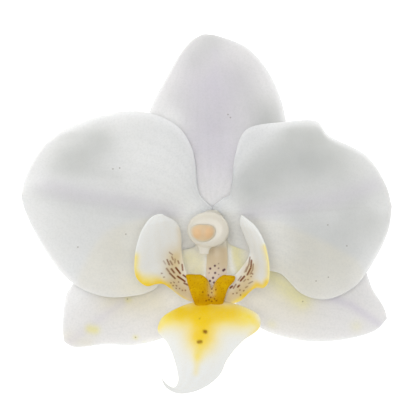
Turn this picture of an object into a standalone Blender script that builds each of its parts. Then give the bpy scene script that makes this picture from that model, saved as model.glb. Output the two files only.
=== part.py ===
"""One moth orchid bloom as picked, lying face up: the tips of its three sepals and its stalk rest on z = 0.

Metres, +Z up out of the flower's face and +Y towards the dorsal sepal. Left and right are the viewer's.
The pieces are built round the flower's axis and then moved together, so that the origin is under the
middle of the whole flower. An edge or a path is a smooth curve through a few points, and those points
are shares of the named sizes, so a piece keeps its form when one of its sizes changes.
"""

from dataclasses import dataclass
import math

import bmesh
import bpy
from mathutils import Matrix, Vector
import numpy as np

MM = 0.001

# ---- clearances and the stack along the flower's axis ----
GAP = 0.4 * MM  # between two pieces that meet
TEPAL_THICKNESS = 1.0 * MM  # along the midrib
TEPAL_MARGIN_SHARE = 0.4  # thickness at the margin against the midrib's
HUB_RADIUS = 1.6 * MM  # top of the stalk, which the five tepals stand round
SEPAL_ROOT_HEIGHT = 6.6 * MM
SEPAL_TIP_HEIGHT = 0.3 * MM
PETAL_ROOT_HEIGHT = SEPAL_ROOT_HEIGHT + TEPAL_THICKNESS + GAP
HUB_TOP = PETAL_ROOT_HEIGHT + TEPAL_THICKNESS / 2
COLUMN_ROOT_HEIGHT = HUB_TOP + 2 * GAP  # its slanting underside dips by up to one gap
CLAW_START = HUB_RADIUS + GAP  # from the flower's axis to where a tepal begins
SEPAL_CLAW_HALF_WIDTH = 2.5 * MM
PETAL_CLAW_HALF_WIDTH = 3.0 * MM

# ---- sepals ----
DORSAL_SEPAL_LENGTH = 30.0 * MM
DORSAL_SEPAL_LEFT_WIDTH = 9.7 * MM
DORSAL_SEPAL_RIGHT_WIDTH = 12.7 * MM
LEFT_SEPAL_LENGTH = 31.6 * MM
LEFT_SEPAL_LOWER_WIDTH = 10.2 * MM
LEFT_SEPAL_UPPER_WIDTH = 9.6 * MM
RIGHT_SEPAL_LENGTH = 33.1 * MM
RIGHT_SEPAL_UPPER_WIDTH = 6.2 * MM
RIGHT_SEPAL_LOWER_WIDTH = 11.6 * MM
SEPAL_CUP = 1.1 * MM  # how far the sides fall below the midrib
SEPAL_REFLEX = 1.6  # power of the backward sweep: nearly flat at the root, steep at the tip

# ---- petals ----
LEFT_PETAL_LENGTH = 31.1 * MM
LEFT_PETAL_UPPER_WIDTH = 15.8 * MM
LEFT_PETAL_LOWER_WIDTH = 14.7 * MM
RIGHT_PETAL_LENGTH = 29.2 * MM
RIGHT_PETAL_UPPER_WIDTH = 14.7 * MM
RIGHT_PETAL_LOWER_WIDTH = 14.5 * MM
PETAL_FALL = 2.4 * MM  # how far the tip lies below the root
PETAL_ARCH = 0.9 * MM  # rise of the blade half way out
PETAL_GROOVE = 0.5 * MM  # depth of the channel along the midrib
PETAL_RUFFLE = 0.4 * MM  # height of the waves along the margin

# ---- column, anther cap and stalk ----
COLUMN_HEIGHT = 8.9 * MM
COLUMN_ROOT = Vector((0.0, -0.8, 0.0)) * MM  # from the flower's axis
COLUMN_WAIST_RADIUS = 1.8 * MM
COLUMN_HEAD_HALF_WIDTH = 3.35 * MM
COLUMN_HEAD_HALF_DEPTH = 2.65 * MM
COLUMN_LEAN = Vector((-0.7, -1.3, 0.0)) * MM  # the head against the root
FOOT_HALF_WIDTH = 1.7 * MM
FOOT_HALF_THICKNESS = 0.75 * MM
FOOT_START = Vector((0.1, 0.2, 1.0)) * MM  # from the column's root
FOOT_KNEE = Vector((0.8, -4.8, 0.9)) * MM
FOOT_RISE = Vector((0.4, 2.3, -0.5)) * MM  # from the foot's own end
FOOT_END = Vector((0.5, 2.75, -1.35)) * MM  # from the lip's root
BEAK_LENGTH = 1.2 * MM
BEAK_HALF_WIDTH = 0.9 * MM
BEAK_ROOT_HALF_THICKNESS = 0.45 * MM
BEAK_TIP_HALF_THICKNESS = 0.3 * MM
CAP_HALF_WIDTH = 2.1 * MM
CAP_UPPER_REACH = 1.15 * MM
CAP_LOWER_REACH = 1.8 * MM
CAP_RISE = 1.0 * MM
CAP_SEAT_DEPTH = 0.9 * MM
CAP_ASIDE = Vector((-0.75, -0.1, 0.0)) * MM  # its middle, and the beak's line, from the middle of the head
STALK_LENGTH = 17.5 * MM  # straight distance from the axis to the cut end
STALK_RADIUS = 1.35 * MM

# ---- lip ----
LIP_ROOT = Vector((-0.2, -13.9, 12.6)) * MM  # where its three lobes meet, from the flower's axis
LEFT_LOBE_SPREAD = 12.2 * MM
RIGHT_LOBE_SPREAD = 9.25 * MM
LOBE_LENGTH = 14.3 * MM
LOBE_RISE = 6.0 * MM
LOBE_CUP = 1.3 * MM
LOBE_THICKNESS = 0.9 * MM
LOBE_MARGIN_SHARE = 0.6  # thickness at the margin against the middle's
MIDLOBE_HALF_WIDTH = 8.5 * MM
MIDLOBE_LENGTH = 14.3 * MM
MIDLOBE_RISE = 6.0 * MM
MIDLOBE_CROWN = 1.1 * MM
CALLUS_LENGTH = 4.3 * MM  # from the lip's root to the horns' tips
CALLUS_SPREAD = 3.1 * MM
CALLUS_RISE = 2.6 * MM
HORN_HALF_WIDTH = 1.75 * MM
HORN_HALF_THICKNESS = 1.1 * MM

# ---- how finely the surfaces are cut ----
TEPAL_ROWS = 18
TEPAL_COLUMNS = 10
LOBE_ROWS = 16
LOBE_COLUMNS = 6
MIDLOBE_ROWS = 24
MIDLOBE_COLUMNS = 10
TUBE_SIDES = 20
COLUMN_RINGS = 16
FOOT_RINGS = 10
BEAK_RINGS = 5
STALK_RINGS = 22
HORN_RINGS = 7


@dataclass
class Tepal:
    """A sepal or petal: a blade round a midrib that runs from the flower's axis at an angle."""

    angle: float  # degrees from +X
    length: float
    left_width: float  # greatest distance from the midrib to the edge on the left, looking along it
    right_width: float
    claw_half_width: float
    left_edge: tuple  # (share of length, share of width), from claw to tip
    right_edge: tuple
    fan: float  # 1 sets the cross lines square to the midrib, more lets them sweep forward


DORSAL_SEPAL = Tepal(
    angle=92.8,
    length=DORSAL_SEPAL_LENGTH,
    left_width=DORSAL_SEPAL_LEFT_WIDTH,
    right_width=DORSAL_SEPAL_RIGHT_WIDTH,
    claw_half_width=SEPAL_CLAW_HALF_WIDTH,
    left_edge=(
        (0.12, 0.38), (0.20, 0.48), (0.34, 0.82), (0.48, 1.0), (0.59, 0.96), (0.79, 0.62), (0.90, 0.40),
        (0.97, 0.19),
    ),
    right_edge=(
        (0.12, 0.34), (0.20, 0.46), (0.31, 0.76), (0.43, 0.98), (0.53, 1.0), (0.75, 0.85), (0.91, 0.57),
        (0.99, 0.16),
    ),
    fan=1.2,
)
LEFT_SEPAL = Tepal(
    angle=-139.9,
    length=LEFT_SEPAL_LENGTH,
    left_width=LEFT_SEPAL_LOWER_WIDTH,
    right_width=LEFT_SEPAL_UPPER_WIDTH,
    claw_half_width=SEPAL_CLAW_HALF_WIDTH,
    left_edge=(
        (0.13, 0.50), (0.22, 0.72), (0.40, 0.89), (0.55, 1.0), (0.73, 0.77), (0.84, 0.47), (0.98, 0.16),
    ),
    right_edge=(
        (0.12, 0.39), (0.24, 0.70), (0.47, 1.0), (0.64, 0.85), (0.77, 0.66), (0.83, 0.60), (0.96, 0.20),
    ),
    fan=1.2,
)
RIGHT_SEPAL = Tepal(
    angle=-30.1,
    length=RIGHT_SEPAL_LENGTH,
    left_width=RIGHT_SEPAL_UPPER_WIDTH,
    right_width=RIGHT_SEPAL_LOWER_WIDTH,
    claw_half_width=SEPAL_CLAW_HALF_WIDTH,
    left_edge=(
        (0.15, 0.56), (0.30, 0.81), (0.59, 1.0), (0.73, 0.96), (0.80, 0.76), (0.86, 0.50), (0.96, 0.21),
    ),
    right_edge=(
        (0.13, 0.43), (0.23, 0.72), (0.36, 0.93), (0.50, 1.0), (0.71, 0.84), (0.87, 0.55), (0.98, 0.22),
    ),
    fan=1.2,
)
LEFT_PETAL = Tepal(
    angle=173.7,
    length=LEFT_PETAL_LENGTH,
    left_width=LEFT_PETAL_LOWER_WIDTH,
    right_width=LEFT_PETAL_UPPER_WIDTH,
    claw_half_width=PETAL_CLAW_HALF_WIDTH,
    left_edge=(
        (0.076, 0.34), (0.15, 0.41), (0.21, 0.54), (0.235, 0.79), (0.28, 0.89), (0.51, 1.0), (0.70, 0.87),
        (0.84, 0.58), (0.97, 0.17),
    ),
    right_edge=(
        (0.09, 0.27), (0.14, 0.66), (0.24, 0.90), (0.46, 1.0), (0.76, 0.80), (0.91, 0.56), (0.99, 0.20),
    ),
    fan=1.0,
)
RIGHT_PETAL = Tepal(
    angle=3.8,
    length=RIGHT_PETAL_LENGTH,
    left_width=RIGHT_PETAL_UPPER_WIDTH,
    right_width=RIGHT_PETAL_LOWER_WIDTH,
    claw_half_width=PETAL_CLAW_HALF_WIDTH,
    left_edge=(
        (0.11, 0.24), (0.15, 0.66), (0.22, 0.94), (0.45, 1.0), (0.62, 0.98), (0.67, 0.83), (0.88, 0.57),
        (0.98, 0.22),
    ),
    right_edge=(
        (0.085, 0.30), (0.13, 0.355), (0.20, 0.42), (0.265, 0.61), (0.36, 0.68), (0.47, 0.92),
        (0.60, 1.0), (0.77, 0.87), (0.91, 0.52), (0.98, 0.24),
    ),
    fan=1.0,
)

# Lip edges: shares of (spread, length, rise), from the lip's root.
LEFT_LOBE_INNER_EDGE = (
    (0.19, 0.22, 0.00), (0.30, 0.31, 0.02), (0.38, 0.57, 0.08),
    (0.39, 0.79, 0.24), (0.45, 0.91, 0.44), (0.63, 1.0, 0.74),
)
LEFT_LOBE_OUTER_EDGE = (
    (0.19, 0.00, 0.03), (0.36, 0.06, 0.16), (0.62, 0.22, 0.48), (0.71, 0.22, 0.61), (0.84, 0.20, 0.81),
    (0.97, 0.30, 0.93), (0.98, 0.57, 0.98), (0.88, 0.85, 0.95), (0.75, 0.98, 0.85), (0.63, 1.0, 0.75),
)
RIGHT_LOBE_INNER_EDGE = (
    (0.20, 0.20, 0.00), (0.39, 0.30, 0.05), (0.67, 0.59, 0.27),
    (0.60, 0.76, 0.46), (0.52, 0.91, 0.66), (0.56, 1.0, 0.81),
)
RIGHT_LOBE_OUTER_EDGE = (
    (0.21, -0.01, 0.05), (0.35, 0.00, 0.08), (0.74, 0.18, 0.45), (0.90, 0.18, 0.73), (0.98, 0.25, 0.88),
    (0.99, 0.44, 0.97), (0.91, 0.68, 1.0), (0.77, 0.87, 0.95), (0.56, 1.0, 0.81),
)
# Midlobe edges run from its root to the end of its tendril, which curls towards the viewer's left.
MIDLOBE_LEFT_EDGE = (
    (-0.28, -0.02, 0.00), (-0.62, 0.05, 0.12), (-0.93, 0.17, 0.40), (-0.99, 0.31, 0.58), (-0.82, 0.43, 0.78),
    (-0.67, 0.65, 0.96), (-0.61, 0.86, 0.96), (-0.68, 0.93, 0.93), (-0.81, 0.90, 1.0), (-0.92, 0.82, 1.12),
)
MIDLOBE_RIGHT_EDGE = (
    (0.25, -0.02, 0.00), (0.62, 0.04, 0.17), (0.90, 0.14, 0.34), (0.90, 0.27, 0.54), (0.56, 0.43, 0.78),
    (0.30, 0.62, 0.94), (0.15, 0.80, 0.97), (-0.22, 0.96, 0.93), (-0.62, 1.0, 0.90), (-0.84, 0.93, 1.0),
    (-0.93, 0.82, 1.12),
)


def smooth(points, count):
    """count points, evenly spaced by length, on a curve through the given points of any dimension."""
    points = np.array(points, float)
    times = np.concatenate([[0.0], np.cumsum(np.linalg.norm(np.diff(points, axis=0), axis=1) ** 0.5)])
    slopes = np.gradient(points, times, axis=0)
    dense = np.linspace(0.0, times[-1], 40 * len(points))
    index = np.clip(np.searchsorted(times, dense, side="right") - 1, 0, len(points) - 2)
    span = (times[index + 1] - times[index])[:, None]
    share = (dense[:, None] - times[index][:, None]) / span
    curve = (
        (2 * share**3 - 3 * share**2 + 1) * points[index]
        + (share**3 - 2 * share**2 + share) * span * slopes[index]
        + (3 * share**2 - 2 * share**3) * points[index + 1]
        + (share**3 - share**2) * span * slopes[index + 1]
    )
    lengths = np.concatenate([[0.0], np.cumsum(np.linalg.norm(np.diff(curve, axis=0), axis=1))])
    wanted = np.linspace(0.0, lengths[-1], count)
    return np.stack([np.interp(wanted, lengths, column) for column in curve.T], axis=1)


def material(name, colour, roughness):
    made = bpy.data.materials.new(name)
    made.use_nodes = True
    shader = made.node_tree.nodes["Principled BSDF"]
    shader.inputs["Base Color"].default_value = (*colour, 1.0)
    shader.inputs["Roughness"].default_value = roughness
    shader.inputs["Metallic"].default_value = 0.0
    made.diffuse_color = (*colour, 1.0)
    return made


def add_object(name, bm, finish):
    """Turns a bmesh into a smooth-shaded object with one material."""
    bmesh.ops.remove_doubles(bm, verts=bm.verts, dist=0.001 * MM)
    bmesh.ops.recalc_face_normals(bm, faces=bm.faces)
    mesh = bpy.data.meshes.new(name)
    bm.to_mesh(mesh)
    bm.free()
    mesh.shade_smooth()
    mesh.materials.append(finish)
    made = bpy.data.objects.new(name, mesh)
    bpy.context.scene.collection.objects.link(made)
    return made


def sheet(name, rows, thickness, margin_share, finish):
    """A thin blade through rows of points, thickest along its middle and thin at its margins."""
    bm = bmesh.new()
    grid = [[bm.verts.new(point) for point in row] for row in rows]
    for lower, upper in zip(grid, grid[1:]):
        for corners in zip(lower, lower[1:], upper[1:], upper):
            bm.faces.new(corners)
    made = add_object(name, bm, finish)

    middle = (len(rows[0]) - 1) / 2
    body = made.vertex_groups.new(name="body")
    for vertex in made.data.vertices:
        row, column, _ = min(
            (
                (i, j, (vertex.co - point).length)
                for i, line in enumerate(rows)
                for j, point in enumerate(line)
            ),
            key=lambda found: found[2],
        )
        across = abs(column - middle) / middle
        along = row / (len(rows) - 1)
        body.add([vertex.index], (1 - across**4) * (1 - along**8), "REPLACE")
    solidify = made.modifiers.new("Blade", "SOLIDIFY")
    solidify.thickness = thickness
    solidify.offset = 0.0
    solidify.vertex_group = "body"
    solidify.thickness_vertex_group = margin_share
    return made


def ring(bm, centre, direction, half_width, half_depth):
    """An elliptical ring of edges square to a path; its width lies along X."""
    across = Vector((1.0, 0.0, 0.0)) - direction * direction.x
    across.normalize()
    depth = direction.cross(across)
    turn = Matrix((across, depth, direction)).transposed().to_4x4()
    place = Matrix.Translation(centre) @ turn @ Matrix.Diagonal((half_width, half_depth, 1.0, 1.0))
    made = bmesh.ops.create_circle(bm, segments=TUBE_SIDES, radius=1.0, matrix=place)
    return made["verts"]


def tube(name, stations, count, finish):
    """A closed solid along a path; a station is (x, y, z, half width, half depth), with rounded ends."""
    path = smooth(stations, count)
    bm = bmesh.new()
    rings = []
    for i, (x, y, z, half_width, half_depth) in enumerate(path):
        before = Vector(path[max(i - 1, 0)][:3])
        after = Vector(path[min(i + 1, count - 1)][:3])
        direction = (after - before).normalized()
        rings.append(ring(bm, Vector((x, y, z)), direction, half_width, half_depth))
    for lower, upper in zip(rings, rings[1:]):
        for k in range(TUBE_SIDES):
            bm.faces.new((lower[k], lower[k - 1], upper[k - 1], upper[k]))
    bm.faces.new(rings[0])
    bm.faces.new(rings[-1])
    return add_object(name, bm, finish)


def combine(base, others, operation):
    """Adds a Boolean for each helper object, which is then left out of the model."""
    for other in others:
        boolean = base.modifiers.new(other.name, "BOOLEAN")
        boolean.operation = operation
        boolean.object = other
        other.hide_render = True
        other.display_type = "WIRE"


def tepal_rows(tepal, height):
    """Rows of points across a tepal from its claw to its tip; height(along, across, radius) gives each z."""
    tip = np.array([tepal.length, 0.0])
    edges = []
    sides = ((tepal.left_width, tepal.left_edge, 1), (tepal.right_width, tepal.right_edge, -1))
    for width, edge, side in sides:
        claw = (CLAW_START, side * tepal.claw_half_width)
        points = [(along * tepal.length, side * across * width) for along, across in edge]
        edges.append(smooth([claw, *points, tip], TEPAL_ROWS + 1))
    turn = Matrix.Rotation(math.radians(tepal.angle), 2)
    rows = []
    for i in range(TEPAL_ROWS + 1):
        along = i / TEPAL_ROWS
        midrib = np.array([CLAW_START + (tepal.length - CLAW_START) * along**tepal.fan, 0.0])
        row = []
        for j in range(TEPAL_COLUMNS + 1):
            across = 1 - 2 * j / TEPAL_COLUMNS
            edge = edges[0] if across >= 0 else edges[1]
            flat = Vector(midrib + abs(across) * (edge[i] - midrib))
            place = turn @ flat
            row.append(Vector((place.x, place.y, height(along, across, flat.length))))
        rows.append(row)
    return rows


def sepal_height(length):
    def height(along, across, radius):
        sweep = (SEPAL_ROOT_HEIGHT - SEPAL_TIP_HEIGHT) * min(radius / length, 1.0) ** SEPAL_REFLEX
        cup = SEPAL_CUP * across**2 * math.sin(math.pi * along)
        return SEPAL_ROOT_HEIGHT - sweep - cup

    return height


def petal_height(length, phase):
    def height(along, across, radius):
        out = min(radius / length, 1.0)
        blade = PETAL_ARCH * math.sin(math.pi * out) - PETAL_FALL * out**2
        groove = PETAL_GROOVE * (1 - abs(across)) ** 4 * math.sin(math.pi * along)
        ruffle = PETAL_RUFFLE * abs(across) ** 3 * math.sin(3 * math.pi * along + phase + across)
        return PETAL_ROOT_HEIGHT + blade - groove + ruffle * along

    return height


def build_tepals():
    white = material("sepal white", (0.72, 0.71, 0.74), 0.5)
    sepals = {
        "dorsal_sepal": DORSAL_SEPAL,
        "lateral_sepal_left": LEFT_SEPAL,
        "lateral_sepal_right": RIGHT_SEPAL,
    }
    made = []
    for name, sepal in sepals.items():
        rows = tepal_rows(sepal, sepal_height(sepal.length))
        made.append(sheet(name, rows, TEPAL_THICKNESS, TEPAL_MARGIN_SHARE, white))
    petal_white = material("petal white", (0.76, 0.77, 0.76), 0.48)
    for name, petal, phase in (("petal_left", LEFT_PETAL, 0.4), ("petal_right", RIGHT_PETAL, 2.0)):
        rows = tepal_rows(petal, petal_height(petal.length, phase))
        made.append(sheet(name, rows, TEPAL_THICKNESS, TEPAL_MARGIN_SHARE, petal_white))
    return made


def build_column():
    """The column, its foot reaching down to the lip, and the small beak under its head."""
    cream = material("column cream", (0.73, 0.70, 0.62), 0.42)
    root = COLUMN_ROOT + Vector((0.0, 0.0, COLUMN_ROOT_HEIGHT))
    head = root + COLUMN_LEAN

    def station(share, height, half_width, half_depth):
        centre = root.lerp(head, share)
        return (centre.x, centre.y, COLUMN_ROOT_HEIGHT + height * COLUMN_HEIGHT, half_width, half_depth)

    waist = COLUMN_WAIST_RADIUS
    wide = COLUMN_HEAD_HALF_WIDTH
    deep = COLUMN_HEAD_HALF_DEPTH
    column = tube(
        "column",
        [
            station(0.0, 0.0, 1.05 * waist, 1.0 * waist),
            station(0.2, 0.22, waist, 0.95 * waist),
            station(0.5, 0.5, 1.15 * waist, 1.0 * waist),
            station(0.8, 0.75, 0.92 * wide, 0.92 * deep),
            station(1.0, 0.88, wide, deep),
            station(1.0, 0.97, 0.93 * wide, 0.92 * deep),
            station(1.0, 1.0, 0.75 * wide, 0.72 * deep),
        ],
        COLUMN_RINGS,
        cream,
    )
    end = LIP_ROOT + FOOT_END
    foot = tube(
        "column foot",
        [
            (*(root + FOOT_START), FOOT_HALF_WIDTH, FOOT_HALF_THICKNESS),
            (*(root + FOOT_KNEE), FOOT_HALF_WIDTH, FOOT_HALF_THICKNESS),
            (*(end + FOOT_RISE), FOOT_HALF_WIDTH, FOOT_HALF_THICKNESS),
            (*end, 0.85 * FOOT_HALF_WIDTH, FOOT_HALF_THICKNESS),
        ],
        FOOT_RINGS,
        cream,
    )
    beak_root = head + Vector((CAP_ASIDE.x, -0.7 * deep, 0.86 * COLUMN_HEIGHT))
    beak_tip = head + Vector((CAP_ASIDE.x, -deep - BEAK_LENGTH, 0.88 * COLUMN_HEIGHT))
    beak = tube(
        "column beak",
        [
            (*beak_root, BEAK_HALF_WIDTH, BEAK_ROOT_HALF_THICKNESS),
            (*beak_root.lerp(beak_tip, 0.8), 0.95 * BEAK_HALF_WIDTH, 0.9 * BEAK_ROOT_HALF_THICKNESS),
            (*beak_tip, 0.7 * BEAK_HALF_WIDTH, BEAK_TIP_HALF_THICKNESS),
        ],
        BEAK_RINGS,
        cream,
    )
    seat = cap_solid("anther seat", GAP, -CAP_SEAT_DEPTH, 2 * CAP_RISE, cream)
    combine(column, [foot, beak], "UNION")
    combine(column, [seat], "DIFFERENCE")
    return [column], [foot, beak, seat]


def cap_solid(name, margin, bottom, rise, finish):
    """A low dome over a D-shaped outline, flat side up, on the column's head; bottom is below its rim."""
    rim = Vector((0.0, 0.0, COLUMN_ROOT_HEIGHT + COLUMN_HEIGHT))
    centre = COLUMN_ROOT + COLUMN_LEAN + CAP_ASIDE + rim
    layers = ((bottom, 1.0), (0.25 * rise, 1.0), (0.7 * rise, 0.85), (0.95 * rise, 0.5), (rise, 0.15))
    bm = bmesh.new()
    rings = []
    for height, share in layers:
        points = []
        for k in range(TUBE_SIDES):
            turn = 2 * math.pi * k / TUBE_SIDES
            c, s = math.cos(turn), math.sin(turn)
            reach = CAP_UPPER_REACH if s > 0 else CAP_LOWER_REACH
            squareness = 0.5 if s > 0 else 1.0
            x = math.copysign(abs(c) ** squareness, c) * (CAP_HALF_WIDTH + margin)
            y = s * (reach + margin)
            points.append(bm.verts.new(centre + Vector((share * x, share * y, height))))
        rings.append(points)
    for lower, upper in zip(rings, rings[1:]):
        for k in range(TUBE_SIDES):
            bm.faces.new((lower[k - 1], lower[k], upper[k], upper[k - 1]))
    bm.faces.new(rings[0])
    bm.faces.new(rings[-1])
    return add_object(name, bm, finish)


def build_anther_cap():
    peach = material("anther peach", (0.69, 0.50, 0.33), 0.45)
    return cap_solid("anther_cap", 0.0, GAP - CAP_SEAT_DEPTH, CAP_RISE, peach)


def build_pedicel():
    """The stalk: down from the flower's back, round a bend and along the surface under the dorsal sepal."""
    green = material("stalk green", (0.42, 0.50, 0.24), 0.5)
    lie = STALK_RADIUS
    return tube(
        "pedicel",
        [
            (0.0, 0.0, HUB_TOP, HUB_RADIUS, HUB_RADIUS),
            (0.0, 0.0, 0.62 * HUB_TOP, HUB_RADIUS, HUB_RADIUS),
            (0.0, 0.12 * STALK_LENGTH, 0.34 * HUB_TOP + 0.2 * lie, 1.15 * lie, 1.15 * lie),
            (-0.2 * MM, 0.35 * STALK_LENGTH, 1.25 * lie, 1.08 * lie, 1.08 * lie),
            (-0.7 * MM, 0.7 * STALK_LENGTH, 1.05 * lie, lie, lie),
            (-1.3 * MM, STALK_LENGTH, lie, lie, lie),
        ],
        STALK_RINGS,
        green,
    )


def lobe_rows(inner_edge, outer_edge, spread, length, rise, bulge, rows, columns):
    """Rows of points between two edges given as shares, bulging by so much half way across."""
    edges = []
    for edge in (inner_edge, outer_edge):
        points = [(x * spread, y * length, z * rise) for x, y, z in edge]
        edges.append(smooth(points, rows + 1))
    lines = []
    for i in range(rows + 1):
        line = []
        for j in range(columns + 1):
            across = j / columns
            point = LIP_ROOT + Vector(edges[0][i]).lerp(Vector(edges[1][i]), across)
            lift = bulge * math.sin(math.pi * across) * math.sin(math.pi * min(1.0, 0.15 + i / rows))
            line.append(point + Vector((0.0, 0.0, lift)))
        lines.append(line)
    return lines


def build_lip():
    """One organ: two upright side lobes, a broad midlobe with its tendril, and the horned callus between."""
    yellow = material("lip yellow", (0.80, 0.62, 0.16), 0.42)
    left = sheet(
        "left side lobe",
        lobe_rows(
            LEFT_LOBE_INNER_EDGE, LEFT_LOBE_OUTER_EDGE,
            -LEFT_LOBE_SPREAD, LOBE_LENGTH, LOBE_RISE, -LOBE_CUP, LOBE_ROWS, LOBE_COLUMNS,
        ),
        LOBE_THICKNESS,
        LOBE_MARGIN_SHARE,
        yellow,
    )
    right = sheet(
        "right side lobe",
        lobe_rows(
            RIGHT_LOBE_INNER_EDGE, RIGHT_LOBE_OUTER_EDGE,
            RIGHT_LOBE_SPREAD, LOBE_LENGTH, LOBE_RISE, -LOBE_CUP, LOBE_ROWS, LOBE_COLUMNS,
        ),
        LOBE_THICKNESS,
        LOBE_MARGIN_SHARE,
        yellow,
    )
    mid = sheet(
        "midlobe",
        lobe_rows(
            MIDLOBE_LEFT_EDGE, MIDLOBE_RIGHT_EDGE,
            MIDLOBE_HALF_WIDTH, -MIDLOBE_LENGTH, MIDLOBE_RISE, MIDLOBE_CROWN, MIDLOBE_ROWS, MIDLOBE_COLUMNS,
        ),
        LOBE_THICKNESS,
        LOBE_MARGIN_SHARE,
        yellow,
    )
    horns = [callus_horn(name, side, yellow) for name, side in (("left horn", -1), ("right horn", 1))]
    lip = tube(
        "lip",
        [
            (*(LIP_ROOT + Vector((0.3, 1.4, -0.9)) * MM), 1.9 * MM, 0.6 * MM),
            (*(LIP_ROOT + Vector((0.1, 0.4, -0.3)) * MM), 2.7 * MM, 0.9 * MM),
            (*(LIP_ROOT + Vector((0.0, -0.9, 0.3)) * MM), 2.6 * MM, 0.8 * MM),
            (*(LIP_ROOT + Vector((0.0, -1.8, 0.8)) * MM), 1.6 * MM, 0.5 * MM),
        ],
        8,
        yellow,
    )
    helpers = [left, right, mid, *horns]
    combine(lip, helpers, "UNION")
    return lip, helpers


def callus_horn(name, side, finish):
    """One of the callus's two blunt horns, leaning out and up from the lip's root."""
    root = LIP_ROOT + Vector((side * 0.7, -0.9, 0.9)) * MM
    tip = LIP_ROOT + Vector((side * CALLUS_SPREAD + 0.4 * MM, CALLUS_LENGTH, CALLUS_RISE))
    middle = root.lerp(tip, 0.5) + Vector((0.0, 0.0, 0.5 * MM))
    return tube(
        name,
        [
            (*root, 1.1 * HORN_HALF_WIDTH, HORN_HALF_THICKNESS),
            (*middle, 1.05 * HORN_HALF_WIDTH, HORN_HALF_THICKNESS),
            (*middle.lerp(tip, 0.6), 0.95 * HORN_HALF_WIDTH, 0.8 * HORN_HALF_THICKNESS),
            (*tip, 0.55 * HORN_HALF_WIDTH, 0.4 * HORN_HALF_THICKNESS),
        ],
        HORN_RINGS,
        finish,
    )


def world_points(made):
    graph = bpy.context.evaluated_depsgraph_get()
    evaluated = made.evaluated_get(graph)
    points = [evaluated.matrix_world @ vertex.co for vertex in evaluated.to_mesh().vertices]
    evaluated.to_mesh_clear()
    return points


def stand_on_floor(pieces, helpers):
    """Hangs every piece on one empty, moved so that the flower's box stands over the origin on z = 0."""
    bpy.context.view_layer.update()
    points = [point for piece in pieces for point in world_points(piece)]
    low = Vector([min(point[axis] for point in points) for axis in range(3)])
    high = Vector([max(point[axis] for point in points) for axis in range(3)])
    flower = bpy.data.objects.new("flower", None)
    bpy.context.scene.collection.objects.link(flower)
    for piece in (*pieces, *helpers):
        piece.parent = flower
    flower.location = (-(low.x + high.x) / 2, -(low.y + high.y) / 2, -low.z)
    bpy.context.view_layer.update()


def main():
    for old in list(bpy.data.objects):
        bpy.data.objects.remove(old, do_unlink=True)
    columns, column_helpers = build_column()
    lip, lip_helpers = build_lip()
    pieces = [*build_tepals(), *columns, build_anther_cap(), build_pedicel(), lip]
    stand_on_floor(pieces, [*column_helpers, *lip_helpers])


main()
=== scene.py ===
"""A single white moth orchid bloom as picked, lying face up, built piece by piece round its packed model.

Metres, +Z up out of the flower's face, +Y towards the dorsal sepal, left and right as the viewer sees them.
Marks on the tissue are given in millimetres from the middle of the flower.
"""

from dataclasses import dataclass
import math

import bmesh
import bpy
from bpy.props import FloatProperty, FloatVectorProperty, IntProperty, PointerProperty
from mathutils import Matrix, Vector
import numpy as np


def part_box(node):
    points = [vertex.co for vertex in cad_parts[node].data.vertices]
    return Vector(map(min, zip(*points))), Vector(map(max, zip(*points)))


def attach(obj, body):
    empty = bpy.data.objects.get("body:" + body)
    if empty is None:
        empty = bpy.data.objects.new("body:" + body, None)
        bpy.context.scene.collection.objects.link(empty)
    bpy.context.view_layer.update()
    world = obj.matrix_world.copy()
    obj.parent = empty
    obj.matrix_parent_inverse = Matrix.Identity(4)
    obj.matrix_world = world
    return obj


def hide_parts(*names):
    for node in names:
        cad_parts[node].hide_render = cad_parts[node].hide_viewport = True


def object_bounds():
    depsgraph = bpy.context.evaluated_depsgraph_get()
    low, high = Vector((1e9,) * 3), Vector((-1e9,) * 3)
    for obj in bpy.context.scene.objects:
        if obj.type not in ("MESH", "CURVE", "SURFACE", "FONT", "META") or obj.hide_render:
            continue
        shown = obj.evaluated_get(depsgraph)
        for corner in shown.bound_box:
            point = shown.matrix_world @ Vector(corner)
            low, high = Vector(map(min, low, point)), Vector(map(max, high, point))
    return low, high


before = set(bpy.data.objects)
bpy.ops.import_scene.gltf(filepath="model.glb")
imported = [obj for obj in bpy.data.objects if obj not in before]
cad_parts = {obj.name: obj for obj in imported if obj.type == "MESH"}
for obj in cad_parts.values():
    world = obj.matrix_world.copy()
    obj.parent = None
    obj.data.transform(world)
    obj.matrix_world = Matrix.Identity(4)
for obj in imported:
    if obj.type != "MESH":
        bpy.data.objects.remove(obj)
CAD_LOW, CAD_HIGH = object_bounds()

bl_info = {
    "name": "Moth Orchid Bloom",
    "version": (1, 0, 0),
    "blender": (4, 5, 0),
    "location": "3D View > Sidebar > Orchid",
    "description": "Builds a white moth orchid bloom with its lip, column and cut stalk",
    "category": "Add Mesh",
}

MM = 0.001
BODY = "root"
AXIS = np.array([0.90, -0.90, 0.13]) * MM  # the flower's own axis, from the middle of its box on the floor
WELD = 1e-7  # points closer than this are one point


def srgb(red, green, blue):
    """Display values from 0 to 255 as the linear values that a shader takes."""
    return tuple(((value / 255 + 0.055) / 1.055) ** 2.4 for value in (red, green, blue))


def size_property(name, description, millimetres):
    return FloatProperty(
        name=name, description=description, default=millimetres * MM, min=0.0, unit="LENGTH", precision=5
    )


def colour_property(name, description, *display):
    return FloatVectorProperty(
        name=name, description=description, default=srgb(*display), size=3, min=0.0, max=1.0, subtype="COLOR"
    )


def share_property(name, description, default):
    return FloatProperty(
        name=name, description=description, default=default, min=0.0, max=1.0, subtype="FACTOR"
    )


# ---------------------------------------------------------------- settings


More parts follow.
